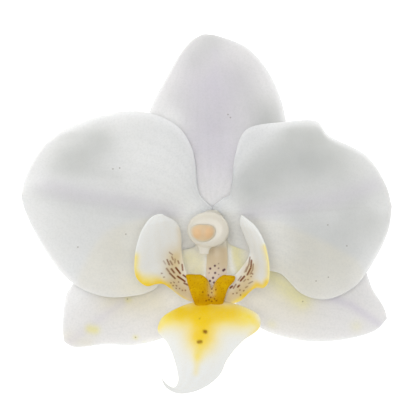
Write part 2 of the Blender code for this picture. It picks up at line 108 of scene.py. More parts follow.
class TepalSettings(bpy.types.PropertyGroup):
    """Sepals and petals."""

    midrib_thickness: size_property("Midrib thickness", "Thickness of the blade along its midrib", 0.95)
    margin_thickness: size_property("Margin thickness", "Thickness just inside the rounded margin", 0.42)
    vein_relief: size_property("Vein relief", "Height of the veins above the blade", 0.02)
    undulation: size_property("Undulation", "Height of the slow waves over the blade", 0.22)
    sepal_white: colour_property("Sepal white", "Ground colour of the sepals", 215, 214, 214)
    petal_white: colour_property("Petal white", "Ground colour of the petals", 210, 211, 211)
    # Painted shade: this grey is washed over the blades where they would lie in shade. It also draws the
    # faint veins and the grain.
    shade: colour_property("Grey shade", "Cooler, greyer tissue", 176, 179, 178)
    mauve: colour_property("Mauve flush", "Flush along midribs and over the dorsal sepal", 200, 196, 206)
    # On the petals this tint also carries painted shade where a sepal lies behind.
    warm: colour_property("Warm tint", "Tissue near the lip", 213, 208, 190)
    green: colour_property("Yellow-green tint", "Blotches and the tint beside the lip", 216, 210, 138)
    # Painted light: this pale colour is washed over the blades where light would fall, along the margins and
    # as a sparkle on the cells.
    painted_light: colour_property("Light tissue", "The lightest tissue near margins", 226, 227, 227)
    speck: colour_property("Speck", "Tiny dark specks", 120, 112, 100)


class LipSettings(bpy.types.PropertyGroup):
    """Lip with its side lobes, midlobe and callus."""

    lobe_thickness: size_property("Lobe thickness", "Thickness of the three lobes", 0.7)
    lobe_margin: size_property("Lobe margin", "Thickness just inside the lobes' rounded margins", 0.34)
    remesh: size_property("Callus grain", "Size of the cells that the callus is fused with", 0.085)
    lobe_white: colour_property("Lobe white", "White of the lobes", 228, 230, 229)
    yellow: colour_property("Yellow", "Broad yellow of the lobes", 242, 216, 40)
    deep_yellow: colour_property("Deep yellow", "Yellow of the margins and the notch", 236, 198, 0)
    tan: colour_property("Tan", "Throat side of the side lobes", 212, 194, 152)
    gold: colour_property("Gold", "Callus", 203, 158, 0)
    stipple: colour_property("Stipple", "Fine dots over the callus", 168, 108, 0)
    brown: colour_property("Brown", "Stripes and dots", 116, 56, 12)


class ColumnSettings(bpy.types.PropertyGroup):
    """Column with its foot and beak, and the anther cap."""

    remesh: size_property("Column grain", "Size of the cells that the column is fused with", 0.11)
    cream: colour_property("Cream", "Column head and sides", 207, 202, 186)
    # Painted light: the colour that the column is painted towards its top, standing in for the light on the
    # head.
    rim: colour_property("Rim", "Lightest edge of the head", 212, 207, 194)
    foot: colour_property("Foot", "Tan of the foot near the head", 199, 181, 148)
    pink: colour_property("Pink", "Pinkish lower foot", 212, 198, 186)
    purple: colour_property("Purple", "Spots on the foot", 78, 30, 46)
    peach: colour_property("Peach", "Anther cap", 217, 181, 138)
    pale_peach: colour_property("Pale peach", "Keel and edge of the anther cap", 210, 188, 154)


class StalkSettings(bpy.types.PropertyGroup):
    """Cut stalk behind the flower."""

    ridges: IntProperty(
        name="Ridges", description="Shallow ridges round the stalk", default=6, min=0, max=12
    )
    ridge_height: size_property("Ridge height", "Height of the ridges", 0.06)
    green: colour_property("Green", "Skin of the stalk", 158, 172, 112)
    pale: colour_property("Pale green", "Stalk where it meets the flower", 221, 217, 210)
    cut: colour_property("Cut end", "Wet tissue of the cut end", 196, 202, 148)


class StageSettings(bpy.types.PropertyGroup):
    """Floor, light and camera."""

    camera_height: FloatProperty(
        name="Camera height", description="Camera above the floor", default=0.9, min=0.2, unit="LENGTH"
    )
    view_width: FloatProperty(
        name="View width", description="Width seen at the height of the petals", default=0.06764,
        unit="LENGTH",
    )
    floor_size: FloatProperty(name="Floor size", description="Side of the floor", default=4.4, unit="LENGTH")
    floor_colour: colour_property("Floor", "Plain pale floor", 248, 248, 248)
    floor_glow: share_property("Floor glow", "Light that the floor gives off by itself", 0.42)
    sky: FloatProperty(name="Sky", description="Strength of the even light all round", default=0.42, min=0.0)
    front: FloatProperty(
        name="Front light", description="Power of the soft light over the flower", default=12.0, min=0.0,
        unit="POWER",
    )
    side: FloatProperty(
        name="Side light", description="Power of the soft light from the upper left", default=0.5, min=0.0,
        unit="POWER",
    )


# ---------------------------------------------------------------- curves and grids


def smooth(points, shares):
    """Points on a curve through the given points of any dimension, at the given shares of its length."""
    points = np.array(points, float)
    times = np.concatenate([[0.0], np.cumsum(np.linalg.norm(np.diff(points, axis=0), axis=1) ** 0.5)])
    slopes = np.gradient(points, times, axis=0)
    dense = np.linspace(0.0, times[-1], 60 * len(points))
    index = np.clip(np.searchsorted(times, dense, side="right") - 1, 0, len(points) - 2)
    span = (times[index + 1] - times[index])[:, None]
    share = (dense[:, None] - times[index][:, None]) / span
    curve = (
        (2 * share**3 - 3 * share**2 + 1) * points[index]
        + (share**3 - 2 * share**2 + share) * span * slopes[index]
        + (3 * share**2 - 2 * share**3) * points[index + 1]
        + (share**3 - share**2) * span * slopes[index + 1]
    )
    lengths = np.concatenate([[0.0], np.cumsum(np.linalg.norm(np.diff(curve, axis=0), axis=1))])
    wanted = np.asarray(shares) * lengths[-1]
    return np.stack([np.interp(wanted, lengths, column) for column in curve.T], axis=1)


def shares_along(count):
    """Shares from 0 to 1, closer together at both ends."""
    even = np.linspace(0.0, 1.0, count)
    return even - 0.85 * np.sin(2 * math.pi * even) / (2 * math.pi)


def shares_across(count):
    """Shares from 1 on the left to -1 on the right, closer together at both margins."""
    return np.sin(np.linspace(1.0, -1.0, count) * math.pi / 2)


def smoothstep(value, low, high):
    share = np.clip((value - low) / (high - low), 0.0, 1.0)
    return share * share * (3 - 2 * share)


def line_distance(places, line):
    """Distance of each (x, y) place from a line through points, or from one point."""
    line = np.array(line, float)
    starts = line[:-1] if len(line) > 1 else line
    ends = line[1:] if len(line) > 1 else line
    best = np.full(len(places), np.inf)
    for start, end in zip(starts, ends):
        run = end - start
        share = np.clip((places - start) @ run / max(run @ run, 1e-18), 0.0, 1.0)
        best = np.minimum(best, np.linalg.norm(places - start - share[:, None] * run, axis=1))
    return best


def inside(places, outline):
    """Signed distance from a closed outline, positive inside it."""
    outline = np.array(outline)
    after = np.roll(outline, -1, axis=0)
    x, y = places[:, 0:1], places[:, 1:2]
    crosses = (outline[:, 1] > y) != (after[:, 1] > y)
    rise = np.where(after[:, 1] == outline[:, 1], 1e-12, after[:, 1] - outline[:, 1])
    left = x < (after[:, 0] - outline[:, 0]) * (y - outline[:, 1]) / rise + outline[:, 0]
    within = np.count_nonzero(crosses & left, axis=1) % 2 == 1
    distance = line_distance(places, np.vstack([outline, outline[:1]]))
    return np.where(within, distance, -distance)


def grid_normals(grid):
    """Unit normals of a grid of points, on the side that faces up."""
    normals = np.cross(np.gradient(grid, axis=0), np.gradient(grid, axis=1))
    lengths = np.linalg.norm(normals, axis=2, keepdims=True)
    normals = normals / np.maximum(lengths, 1e-15)
    for row, neighbour in ((0, 1), (-1, -2)):
        normals[row] = normals[neighbour]
    return normals if normals[..., 2].mean() > 0 else -normals


def grid_faces(rows, columns, offset=0):
    index = np.arange(rows * columns).reshape(rows, columns) + offset
    corners = (index[:-1, :-1], index[:-1, 1:], index[1:, 1:], index[1:, :-1])
    return np.stack(corners, axis=-1).reshape(-1, 4)


# ---------------------------------------------------------------- meshes


@dataclass
class Surface:
    """Points, faces, and named numbers for each point."""

    points: np.ndarray
    faces: np.ndarray
    fields: dict


def closed_sheet(grid, thickness, fields):
    """A front and a back on either side of a grid of points; they meet where the thickness is 0."""
    rows, columns = thickness.shape
    half = grid_normals(grid) * thickness[..., None] / 2
    points = np.concatenate([(grid + half).reshape(-1, 3), (grid - half).reshape(-1, 3)])
    faces = np.concatenate([grid_faces(rows, columns), grid_faces(rows, columns, rows * columns)[:, ::-1]])
    doubled = {name: np.tile(values.reshape(-1), 2) for name, values in fields.items()}
    doubled["front"] = np.repeat([1.0, 0.0], rows * columns)
    return Surface(points, faces, doubled)


def sheet_thickness(along, across, middle, margin):
    """Thick along the middle, thin towards the margins, and rounded off to nothing at all four borders."""
    body = margin + (middle - margin) * (1 - np.abs(across) ** 1.5) * (1 - along**4)
    rounding = (1 - np.abs(across) ** 14) * (1 - np.abs(2 * along - 1) ** 40)
    return body * np.sqrt(np.maximum(rounding, 0.0))


def loft(stations, sides, count, ridges=0, ridge_height=0.0):
    """A closed tube through stations (x, y, z, half width, half depth), with rounded ends."""
    path = smooth(stations, np.linspace(0.0, 1.0, count))
    centres = path[:, :3]
    directions = np.gradient(centres, axis=0)
    directions /= np.linalg.norm(directions, axis=1, keepdims=True)
    across = np.array([1.0, 0.0, 0.0]) - directions * directions[:, :1]
    across /= np.linalg.norm(across, axis=1, keepdims=True)
    depth = np.cross(directions, across)
    turn = np.linspace(0.0, 2 * math.pi, sides, endpoint=False)
    ridge = 1 + ridge_height / path[:, 3:4] * np.cos(ridges * turn)[None, :]
    rings = (
        centres[:, None, :]
        + (path[:, 3:4] * ridge * np.cos(turn))[..., None] * across[:, None, :]
        + (path[:, 4:5] * ridge * np.sin(turn))[..., None] * depth[:, None, :]
    )
    index = np.arange(count * sides).reshape(count, sides)
    beside = np.roll(index, -1, axis=1)
    quads = np.stack([index[:-1], beside[:-1], beside[1:], index[1:]], axis=-1).reshape(-1, 4)
    points = np.concatenate([rings.reshape(-1, 3), centres[:1], centres[-1:]])
    caps = []
    for ring, middle in ((0, count * sides), (count - 1, count * sides + 1)):
        caps += [(index[ring, k], beside[ring, k], middle, middle) for k in range(sides)]
    along = np.concatenate([np.repeat(np.linspace(0.0, 1.0, count), sides), [0.0, 1.0]])
    return Surface(points, np.concatenate([quads, np.array(caps)]), {"along": along})


def add_mesh(name, surface, finish=None):
    """An object from a surface: coinciding points are welded and its faces point outwards."""
    _, first, place = np.unique(
        np.round(surface.points / WELD), axis=0, return_index=True, return_inverse=True
    )
    faces = place.reshape(-1)[surface.faces].tolist()
    polygons = [tuple(dict.fromkeys(face)) for face in faces]
    mesh = bpy.data.meshes.new(name)
    mesh.from_pydata(surface.points[first].tolist(), [], [face for face in polygons if len(face) > 2])
    bm = bmesh.new()
    bm.from_mesh(mesh)
    bmesh.ops.recalc_face_normals(bm, faces=bm.faces)
    bm.to_mesh(mesh)
    bm.free()
    for field, values in surface.fields.items():
        write_mask(mesh, field, values[first])
    mesh.shade_smooth()
    if finish:
        mesh.materials.append(finish)
    made = bpy.data.objects.new(name, mesh)
    bpy.context.scene.collection.objects.link(made)
    return made


def write_mask(mesh, name, values):
    mask = mesh.attributes.get(name) or mesh.attributes.new(name, "FLOAT", "POINT")
    mask.data.foreach_set("value", np.asarray(values, np.float32))


def mesh_points(mesh):
    flat = np.empty(3 * len(mesh.vertices))
    mesh.vertices.foreach_get("co", flat)
    return flat.reshape(-1, 3)


def fit_between(points, low, high, new_low, new_high):
    return new_low + (points - low) * (new_high - new_low) / (high - low)


def fit_to_node(points, node, counted=slice(None)):
    """Stretches points the last little bit, so that the box of those that count is their node's box."""
    new_low, new_high = (np.array(corner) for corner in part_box(node))
    low, high = points[counted].min(axis=0), points[counted].max(axis=0)
    return fit_between(points, low, high, new_low, new_high)


def fused(name, parts, removed, cell, relax):
    """One skin round several closed surfaces, less others, smoothed a little."""
    base, *others = [add_mesh(f"{name}_{k}", part) for k, part in enumerate(parts)]
    cutters = [add_mesh(f"{name}_cut_{k}", part) for k, part in enumerate(removed)]
    for helpers, operation in ((others, "UNION"), (cutters, "DIFFERENCE")):
        for helper in helpers:
            boolean = base.modifiers.new(helper.name, "BOOLEAN")
            boolean.operation = operation
            boolean.object = helper
    remesh = base.modifiers.new("Skin", "REMESH")
    remesh.mode = "VOXEL"
    remesh.voxel_size = cell
    relaxing = base.modifiers.new("Relax", "SMOOTH")
    relaxing.factor = 0.5
    relaxing.iterations = relax
    bpy.context.view_layer.update()
    mesh = bpy.data.meshes.new_from_object(base.evaluated_get(bpy.context.evaluated_depsgraph_get()))
    for helper in (base, *others, *cutters):
        bpy.data.objects.remove(helper, do_unlink=True)
    mesh.name = name
    mesh.shade_smooth()
    mesh.materials.clear()
    made = bpy.data.objects.new(name, mesh)
    bpy.context.scene.collection.objects.link(made)
    return made


def settle(piece, nodes):
    """Ties a finished piece to the flower's body and hides the packed solids that it stands for."""
    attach(piece, BODY)
    if nodes:
        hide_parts(*nodes)
    return piece


# ---------------------------------------------------------------- marks on the tissue: colour, painted shade and painted light


@dataclass
class Mark:
    """A soft brush stroke on the tissue: a line in millimetres, its radius, and how strong it is."""

    mask: str
    line: tuple
    radius: float
    amount: float = 1.0


def brush(points, marks):
    """Adds up the marks of each mask over the points, each mask from 0 to 1."""
    places = points[:, :2] / MM
    masks = {}
    for mark in marks:
        distance = line_distance(places, mark.line)
        wash = mark.amount * np.exp(-((distance / mark.radius) ** 2))
        masks[mark.mask] = 1 - (1 - masks.get(mark.mask, 0.0)) * (1 - wash)
    return masks


def dashes(points, lines, radius, soft):
    """Crisp short strokes: 1 on each line out to the radius, 0 past the soft edge."""
    places = points[:, :2] / MM
    wash = np.zeros(len(points))
    for strength, line in lines:
        distance = line_distance(places, line)
        reach = radius * (0.5 + 0.5 * strength)
        wash = np.maximum(wash, strength**0.6 * (1 - smoothstep(distance, reach - soft, reach + soft)))
    return wash


# ---------------------------------------------------------------- finishes


class Finish:
    """A material in the making: one shader, and the nodes that feed it."""

    def __init__(self, name, scatter=0.0, specular=0.35, sheen=0.0, coat=0.0):
        self.material = bpy.data.materials.new(name)
        self.material.use_nodes = True
        self.nodes = self.material.node_tree.nodes
        self.links = self.material.node_tree.links
        self.shader = self.nodes["Principled BSDF"]
        settings = {
            "Subsurface Weight": scatter,
            "Subsurface Radius": (1.0, 0.95, 0.88),
            "Subsurface Scale": 2.0 * MM,
            "Specular IOR Level": specular,
            "Sheen Weight": sheen,
            "Sheen Roughness": 0.4,
            "Coat Weight": coat,
            "Coat Roughness": 0.25,
        }
        for socket, value in settings.items():
            self.shader.inputs[socket].default_value = value
        self.place = self.nodes.new("ShaderNodeTexCoord").outputs["Object"]

    def feed(self, socket, value):
        if isinstance(value, bpy.types.NodeSocket):
            self.links.new(value, socket)
        elif socket.type == "RGBA":
            socket.default_value = (*value[:3], 1.0)
        else:
            socket.default_value = value

    def mask(self, name):
        node = self.nodes.new("ShaderNodeAttribute")
        node.attribute_name = name
        return node.outputs["Fac"]

    def mix(self, ground, wash, amount):
        node = self.nodes.new("ShaderNodeMix")
        node.data_type = "RGBA"
        for socket, value in ((0, amount), (6, ground), (7, wash)):
            self.feed(node.inputs[socket], value)
        return node.outputs[2]

    def maths(self, operation, first, second):
        node = self.nodes.new("ShaderNodeMath")
        node.operation = operation
        self.feed(node.inputs[0], first)
        self.feed(node.inputs[1], second)
        return node.outputs[0]

    def span(self, value, low, high, to_low=0.0, to_high=1.0):
        node = self.nodes.new("ShaderNodeMapRange")
        node.interpolation_type = "SMOOTHSTEP"
        for socket, number in zip(node.inputs, (value, low, high, to_low, to_high)):
            self.feed(socket, number)
        return node.outputs[0]

    def noise(self, size, detail=3.0):
        node = self.nodes.new("ShaderNodeTexNoise")
        self.feed(node.inputs["Vector"], self.place)
        node.inputs["Scale"].default_value = 1 / size
        node.inputs["Detail"].default_value = detail
        return node.outputs["Fac"]

    def cells(self, size):
        node = self.nodes.new("ShaderNodeTexVoronoi")
        self.feed(node.inputs["Vector"], self.place)
        node.inputs["Scale"].default_value = 1 / size
        return node.outputs["Distance"]

    def dots(self, centres, radius):
        """Round dots at (x, y) places in millimetres, at any height."""
        flat = self.nodes.new("ShaderNodeVectorMath")
        flat.operation = "MULTIPLY"
        self.feed(flat.inputs[0], self.place)
        flat.inputs[1].default_value = (1.0, 1.0, 0.0)
        result = 0.0
        for x, y in centres:
            distance = self.nodes.new("ShaderNodeVectorMath")
            distance.operation = "DISTANCE"
            self.feed(distance.inputs[0], flat.outputs[0])
            distance.inputs[1].default_value = (x * MM, y * MM, 0.0)
            dot = self.span(distance.outputs["Value"], 0.5 * radius, radius, 1.0, 0.0)
            result = self.maths("MAXIMUM", result, dot)
        return result

    def done(self, colour, roughness, height, relief):
        self.feed(self.shader.inputs["Base Color"], colour)
        self.feed(self.shader.inputs["Roughness"], roughness)
        bump = self.nodes.new("ShaderNodeBump")
        bump.inputs["Strength"].default_value = 0.6
        bump.inputs["Distance"].default_value = relief
        self.feed(bump.inputs["Height"], height)
        self.feed(self.shader.inputs["Normal"], bump.outputs["Normal"])
        return self.material


def washed(finish, ground, washes, break_up):
    """The ground colour under a wash for each mask, whose strength varies a little with the tissue."""
    colour = ground
    uneven = finish.span(break_up, 0.25, 0.75, 0.82, 1.0)
    for mask, wash in washes:
        colour = finish.mix(colour, wash, finish.maths("MULTIPLY", finish.mask(mask), uneven))
    return colour


SPECK_RADIUS = 0.17 * MM


def tepal_finish(name, ground, settings, specks):
    """White tissue: soft washes of colour, of painted shade and of painted light, faint darker veins, a fine
    painted sparkle on the cells and a few specks.
    """
    finish = Finish(name, scatter=0.7, specular=0.3, sheen=0.06)
    slow = finish.noise(3.2 * MM, 3.0)
    grain = finish.noise(0.32 * MM, 2.0)
    cells = finish.cells(0.17 * MM)
    washes = (
        ("shade", settings.shade), ("warm", settings.warm), ("mauve", settings.mauve),
        ("green", settings.green), ("painted_light", settings.painted_light),
    )
    colour = washed(finish, ground, washes, slow)
    colour = finish.mix(colour, settings.shade, finish.maths("MULTIPLY", finish.mask("vein"), 0.08))
    colour = finish.mix(colour, settings.shade, finish.span(grain, 0.35, 0.8, 0.0, 0.20))
    # Painted sparkle: the cell centres are painted lighter.
    colour = finish.mix(colour, settings.painted_light, finish.span(cells, 0.0, 0.4, 0.10, 0.0))
    if specks:
        dots = finish.maths("MULTIPLY", finish.dots(specks, SPECK_RADIUS), 0.55)
        colour = finish.mix(colour, settings.speck, dots)
    return finish.done(colour, finish.span(grain, 0.2, 0.8, 0.46, 0.62), cells, 0.02 * MM)


# ---------------------------------------------------------------- sepals and petals


TEPAL_ROWS = 121  # points of each blade's grid, from claw to tip
TEPAL_COLUMNS = 97
RIM_PAINTED_LIGHT = 0.6  # painted light: how much paler the very margin is painted
OVERLAP_PAINTED_SHADE = 0.42  # painted shade: how much warmer and darker the petal is painted where the sepal lies behind it
CLAW_START = 2.0  # where the packed blades begin
SEPAL_ROOT_HEIGHT = 6.6  # millimetres, before the blade is set down on its lowest point
SEPAL_TIP_HEIGHT = 0.3
SEPAL_CUP = 1.1
SEPAL_REFLEX = 1.6
SEPAL_HUB_HEIGHT = 7.4  # the sepals' claws come up to the petals' where all five join
SEPAL_HUB = (4.0, 15.0)
PETAL_ROOT_HEIGHT = 8.0
PETAL_FALL = 2.4
PETAL_ARCH = 0.9
PETAL_GROOVE = 0.5
PETAL_RUFFLE = 0.4
RIM_FADE = (7.0, 14.0)  # the painted light along the margin starts this far out
PETAL_HUB_DROOP = 0.8  # of the inner margins, towards the sepals behind
PETAL_HUB = (5.0, 18.0)
PETAL_CLAW_FLAT = (3.0, 7.0)  # the claws themselves stay flat


@dataclass
class Kind:
    """What all sepals share, or all petals."""

    claw: float  # half width where the packed blade begins
    reach: tuple  # where the tissue itself begins, in under the column, and its half width there
    fan: float  # 1 sets the cross lines square to the midrib, more lets them sweep forward
    veins: float  # on either side of the midrib


SEPAL = Kind(claw=2.5, reach=(0.8, 2.3), fan=1.2, veins=5.0)
PETAL = Kind(claw=3.0, reach=(-0.2, 1.4), fan=1.0, veins=8.0)


@dataclass
class Tepal:
    """A sepal or petal: a blade round a midrib that runs from the flower's axis at an angle."""

    kind: Kind
    node: str
    angle: float  # degrees from +X
    length: float  # millimetres
    left_width: float  # from the midrib to the edge on the left, looking along it
    right_width: float
    left_edge: tuple  # (share of length, share of width), from claw to tip
    right_edge: tuple
    phase: float  # of the waves along the margin
    marks: tuple
    specks: tuple = ()


DORSAL_SEPAL = Tepal(
    kind=SEPAL,
    node="dorsal_sepal",
    angle=92.8,
    length=30.0,
    left_width=9.7,
    right_width=12.7,
    left_edge=(
        (0.12, 0.38), (0.20, 0.48), (0.34, 0.82), (0.48, 1.0), (0.59, 0.96), (0.79, 0.62), (0.90, 0.40),
        (0.97, 0.19),
    ),
    right_edge=(
        (0.12, 0.34), (0.20, 0.46), (0.31, 0.76), (0.43, 0.98), (0.53, 1.0), (0.75, 0.85), (0.91, 0.57),
        (0.99, 0.16),
    ),
    phase=0.9,
    # The grey marks here are painted shade, the pale marks painted light.
    marks=(
        Mark("mauve", ((1.6, 9.0), (0.8, 13.0), (1.2, 20.0)), 5.8, 0.78),
        Mark("mauve", ((1.4, 16.6), (1.4, 26.5)), 0.6, 0.30),
        Mark("shade", ((0.6, 16.0), (1.4, 21.0)), 4.4, 0.22),
        Mark("shade", ((5.0, 21.5), (7.0, 18.0)), 2.8, 0.42),
        Mark("shade", ((10.0, 15.5), (9.0, 12.5)), 2.9, 0.85),
        Mark("shade", ((-1.8, 25.0), (0.6, 27.8)), 2.4, 0.50),
        Mark("shade", ((-3.4, 18.0),), 3.2, 0.26),
        Mark("painted_light", ((1.0, 1.0), (1.2, 6.0)), 3.2, 0.20),
        Mark("painted_light", ((-7.6, 11.0), (-5.8, 15.0)), 2.2, 0.60),
    ),
    specks=((3.5, 15.9), (3.9, 15.4)),
)
LEFT_SEPAL = Tepal(
    kind=SEPAL,
    node="lateral_sepal_left",
    angle=-139.9,
    length=31.6,
    left_width=10.2,
    right_width=9.6,
    left_edge=(
        (0.13, 0.50), (0.22, 0.72), (0.40, 0.89), (0.55, 1.0), (0.73, 0.77), (0.84, 0.47), (0.98, 0.16),
    ),
    right_edge=(
        (0.12, 0.39), (0.24, 0.70), (0.47, 1.0), (0.64, 0.85), (0.77, 0.66), (0.83, 0.60), (0.96, 0.20),
    ),
    phase=2.2,
    # The pale marks here are painted light.
    marks=(
        Mark("warm", ((-15.0, -14.0), (-9.0, -14.2)), 2.8, 0.85),
        Mark("green", ((-2.6, -7.6), (-1.2, -8.4), (-1.6, -10.0)), 2.1, 0.50),
        Mark("painted_light", ((0.1, -7.6), (0.1, -9.4), (0.5, -11.4)), 0.6, 0.7),
        Mark("warm", ((-4.0, -12.5),), 2.0, 0.5),
        Mark("mauve", ((-22.6, -21.4), (-17.0, -17.2), (-13.0, -14.2)), 0.8, 0.42),
        Mark("warm", ((-22.6, -20.6), (-19.6, -21.4)), 1.4, 0.45),
        Mark("painted_light", ((-21.6, -14.6), (-20.2, -12.4)), 1.2, 0.35),
        Mark("green", ((-12.8, -14.3),), 0.55, 0.70),
        Mark("green", ((-19.1, -19.1), (-18.2, -19.3)), 0.75, 0.85),
        Mark("green", ((-11.6, -20.5),), 0.42, 0.80),
        Mark("green", ((-10.2, -21.3),), 0.28, 0.45),
    ),
    specks=((-12.9, -14.2), (-11.6, -20.5)),
)
RIGHT_SEPAL = Tepal(
    kind=SEPAL,
    node="lateral_sepal_right",
    angle=-30.1,
    length=33.1,
    left_width=6.2,
    right_width=11.6,
    left_edge=(
        (0.15, 0.56), (0.30, 0.81), (0.59, 1.0), (0.73, 0.96), (0.80, 0.76), (0.86, 0.50), (0.96, 0.21),
    ),
    right_edge=(
        (0.13, 0.43), (0.23, 0.72), (0.36, 0.93), (0.50, 1.0), (0.71, 0.84), (0.87, 0.55), (0.98, 0.22),
    ),
    phase=4.0,
    # The pale mark here is painted light.
    marks=(
        Mark("green", ((9.6, -9.6), (12.6, -12.0), (15.6, -14.2)), 1.7, 0.59),
        Mark("green", ((4.6, -6.4), (5.4, -9.8)), 1.7, 0.62),
        Mark("warm", ((8.0, -13.4), (15.0, -16.0)), 3.2, 0.45),
        Mark("mauve", ((19.2, -13.6), (23.6, -15.2), (29.0, -18.8)), 0.75, 0.75),
        Mark("green", ((10.65, -18.4),), 0.8, 0.35),
        Mark("green", ((24.5, -18.7),), 1.0, 0.28),
        Mark("painted_light", ((3.7, -6.2), (3.9, -8.0), (4.5, -9.9)), 0.45, 0.8),
    ),
    specks=((15.7, -14.6),),
)
LEFT_PETAL = Tepal(
    kind=PETAL,
    node="petal_left",
    angle=173.7,
    length=31.1,
    left_width=14.7,
    right_width=15.8,
    left_edge=(
        (0.076, 0.34), (0.15, 0.41), (0.21, 0.54), (0.235, 0.79), (0.28, 0.89), (0.51, 1.0), (0.70, 0.87),
        (0.84, 0.58), (0.97, 0.17),
    ),
    right_edge=(
        (0.09, 0.27), (0.14, 0.66), (0.24, 0.90), (0.46, 1.0), (0.76, 0.80), (0.91, 0.56), (0.99, 0.20),
    ),
    phase=0.4,
    # The grey marks here are painted shade, the pale marks painted light.
    marks=(
        Mark("shade", ((-22.0, 8.6), (-19.3, 9.8), (-17.6, 11.2)), 2.9, 0.78),
        Mark("shade", ((-23.4, 12.4), (-17.2, 12.3)), 1.0, 0.30),
        Mark("shade", ((-24.6, 7.2), (-19.0, 6.6), (-14.8, 5.8)), 1.2, 0.24),
        Mark("shade", ((-26.8, 3.8), (-21.0, 2.4), (-15.7, 1.5), (-5.0, -0.8)), 1.7, 0.40),
        Mark("shade", ((-22.0, 0.6), (-15.0, -1.6), (-7.0, -2.8)), 2.6, 0.16),
        Mark("mauve", ((-26.8, 4.4), (-21.0, 2.9), (-15.7, 2.0), (-5.0, -0.2)), 1.5, 0.42),
        Mark("shade", ((-24.0, -4.0), (-20.0, -5.0)), 3.2, 0.12),
        Mark("warm", ((-12.0, -12.4), (-9.0, -12.0)), 2.4, 0.65),
        Mark("warm", ((-4.6, -2.6), (-3.4, -5.2)), 1.8, 0.50),
        Mark("painted_light", ((-29.4, 4.8), (-27.2, 5.2)), 1.3, 0.45),
        Mark("painted_light", ((-10.0, 9.5), (-4.0, 7.0)), 3.8, 0.40),
        Mark("shade", ((-15.0, -6.0), (-12.0, -8.0)), 3.2, 0.22),
        Mark("shade", ((-11.0, 13.0),), 2.4, 0.16),
        Mark("painted_light", ((-5.0, -6.0), (-4.2, -3.4), (-3.0, -0.4), (-0.8, 1.0)), 1.7, 0.55),
    ),
    specks=((-15.2, 7.0), (-14.1, 7.15), (-13.1, -3.6), (-20.9, -5.7)),
)
RIGHT_PETAL = Tepal(
    kind=PETAL,
    node="petal_right",
    angle=3.8,
    length=29.2,
    left_width=14.7,
    right_width=14.5,
    left_edge=(
        (0.11, 0.24), (0.15, 0.66), (0.22, 0.94), (0.45, 1.0), (0.62, 0.98), (0.67, 0.83), (0.88, 0.57),
        (0.98, 0.22),
    ),
    right_edge=(
        (0.085, 0.30), (0.13, 0.355), (0.20, 0.42), (0.265, 0.61), (0.36, 0.68), (0.47, 0.92),
        (0.60, 1.0), (0.77, 0.87), (0.91, 0.52), (0.98, 0.24),
    ),
    phase=2.0,
    # The grey marks here are painted shade, the pale marks painted light.
    marks=(
        Mark("shade", ((7.6, 4.6), (13.0, 8.0), (20.0, 9.0)), 4.9, 0.82),
        Mark("shade", ((14.0, 12.8), (19.0, 12.0)), 2.5, 0.85),
        Mark("shade", ((18.0, -5.0), (21.0, -5.0), (26.0, -1.0)), 5.6, 0.56),
        Mark("shade", ((6.4, -0.8), (15.2, 0.7), (21.0, 1.8), (27.2, 4.3)), 1.6, 0.20),
        Mark("mauve", ((6.4, -0.4), (15.2, 1.1), (21.0, 2.2), (27.2, 4.3)), 1.4, 0.42),
        Mark("warm", ((12.0, -9.0), (16.0, -12.0)), 2.8, 0.22),
        Mark("painted_light", ((10.5, -2.5), (12.0, -6.0)), 2.6, 0.40),
        Mark("warm", ((4.4, -2.4), (5.4, -5.2)), 1.8, 0.45),
        Mark("painted_light", ((5.4, -5.0), (4.8, -2.4), (4.0, 0.4), (2.4, 1.4)), 1.7, 0.50),
        Mark("painted_light", ((4.4, 7.0), (7.0, 10.8), (11.6, 14.4)), 1.5, 0.36),
        Mark("painted_light", ((27.0, 1.0), (28.6, 0.6)), 1.4, 0.22),
        Mark("painted_light", ((24.0, -10.4), (26.6, -7.6)), 1.2, 0.10),
    ),
    specks=((22.8, -5.5), (19.8, -10.6), (17.8, -11.2), (19.7, -2.1)),
)


def tepal_edges(tepal, shares):
    """Both edges from claw to tip, in millimetres from the flower's axis, before the tepal is turned."""
    tip = (tepal.length, 0.0)
    edges = []
    sides = ((tepal.left_width, tepal.left_edge, 1), (tepal.right_width, tepal.right_edge, -1))
    for width, edge, side in sides:
        points = [(along * tepal.length, side * across * width) for along, across in edge]
        start, half_width = tepal.kind.reach
        claw = [(start, side * half_width), (CLAW_START, side * tepal.kind.claw)]
        edges.append(smooth([*claw, *points, tip], shares))
    return edges


def turned(flat, angle):
    """Flat millimetre places turned about the flower's axis and moved to where it stands."""
    c, s = math.cos(math.radians(angle)), math.sin(math.radians(angle))
    return flat @ np.array([[c, s], [-s, c]]) * MM + AXIS[:2]


def tepal_outline(tepal):
    left, right = tepal_edges(tepal, np.linspace(0.0, 1.0, 40))
    return turned(np.vstack([left, right[::-1]]), tepal.angle)


def sepal_height(tepal, along, across, radius):
    sweep = (SEPAL_ROOT_HEIGHT - SEPAL_TIP_HEIGHT) * np.minimum(radius / tepal.length, 1.0) ** SEPAL_REFLEX
    cup = SEPAL_CUP * across**2 * np.sin(math.pi * along)
    blade = SEPAL_ROOT_HEIGHT - sweep - cup
    return blade + (SEPAL_HUB_HEIGHT - blade) * (1 - smoothstep(radius, *SEPAL_HUB))


def petal_height(tepal, along, across, radius):
    out = np.minimum(radius / tepal.length, 1.0)
    blade = PETAL_ARCH * np.sin(math.pi * out) - PETAL_FALL * out**2
    groove = PETAL_GROOVE * (1 - np.abs(across)) ** 4 * np.sin(math.pi * along)
    ruffle = PETAL_RUFFLE * np.abs(across) ** 3 * np.sin(3 * math.pi * along + tepal.phase + across)
    hub = smoothstep(radius, *PETAL_CLAW_FLAT) * (1 - smoothstep(radius, *PETAL_HUB))
    droop = PETAL_HUB_DROOP * np.abs(across) ** 4 * hub
    return PETAL_ROOT_HEIGHT + blade - groove - droop + ruffle * along


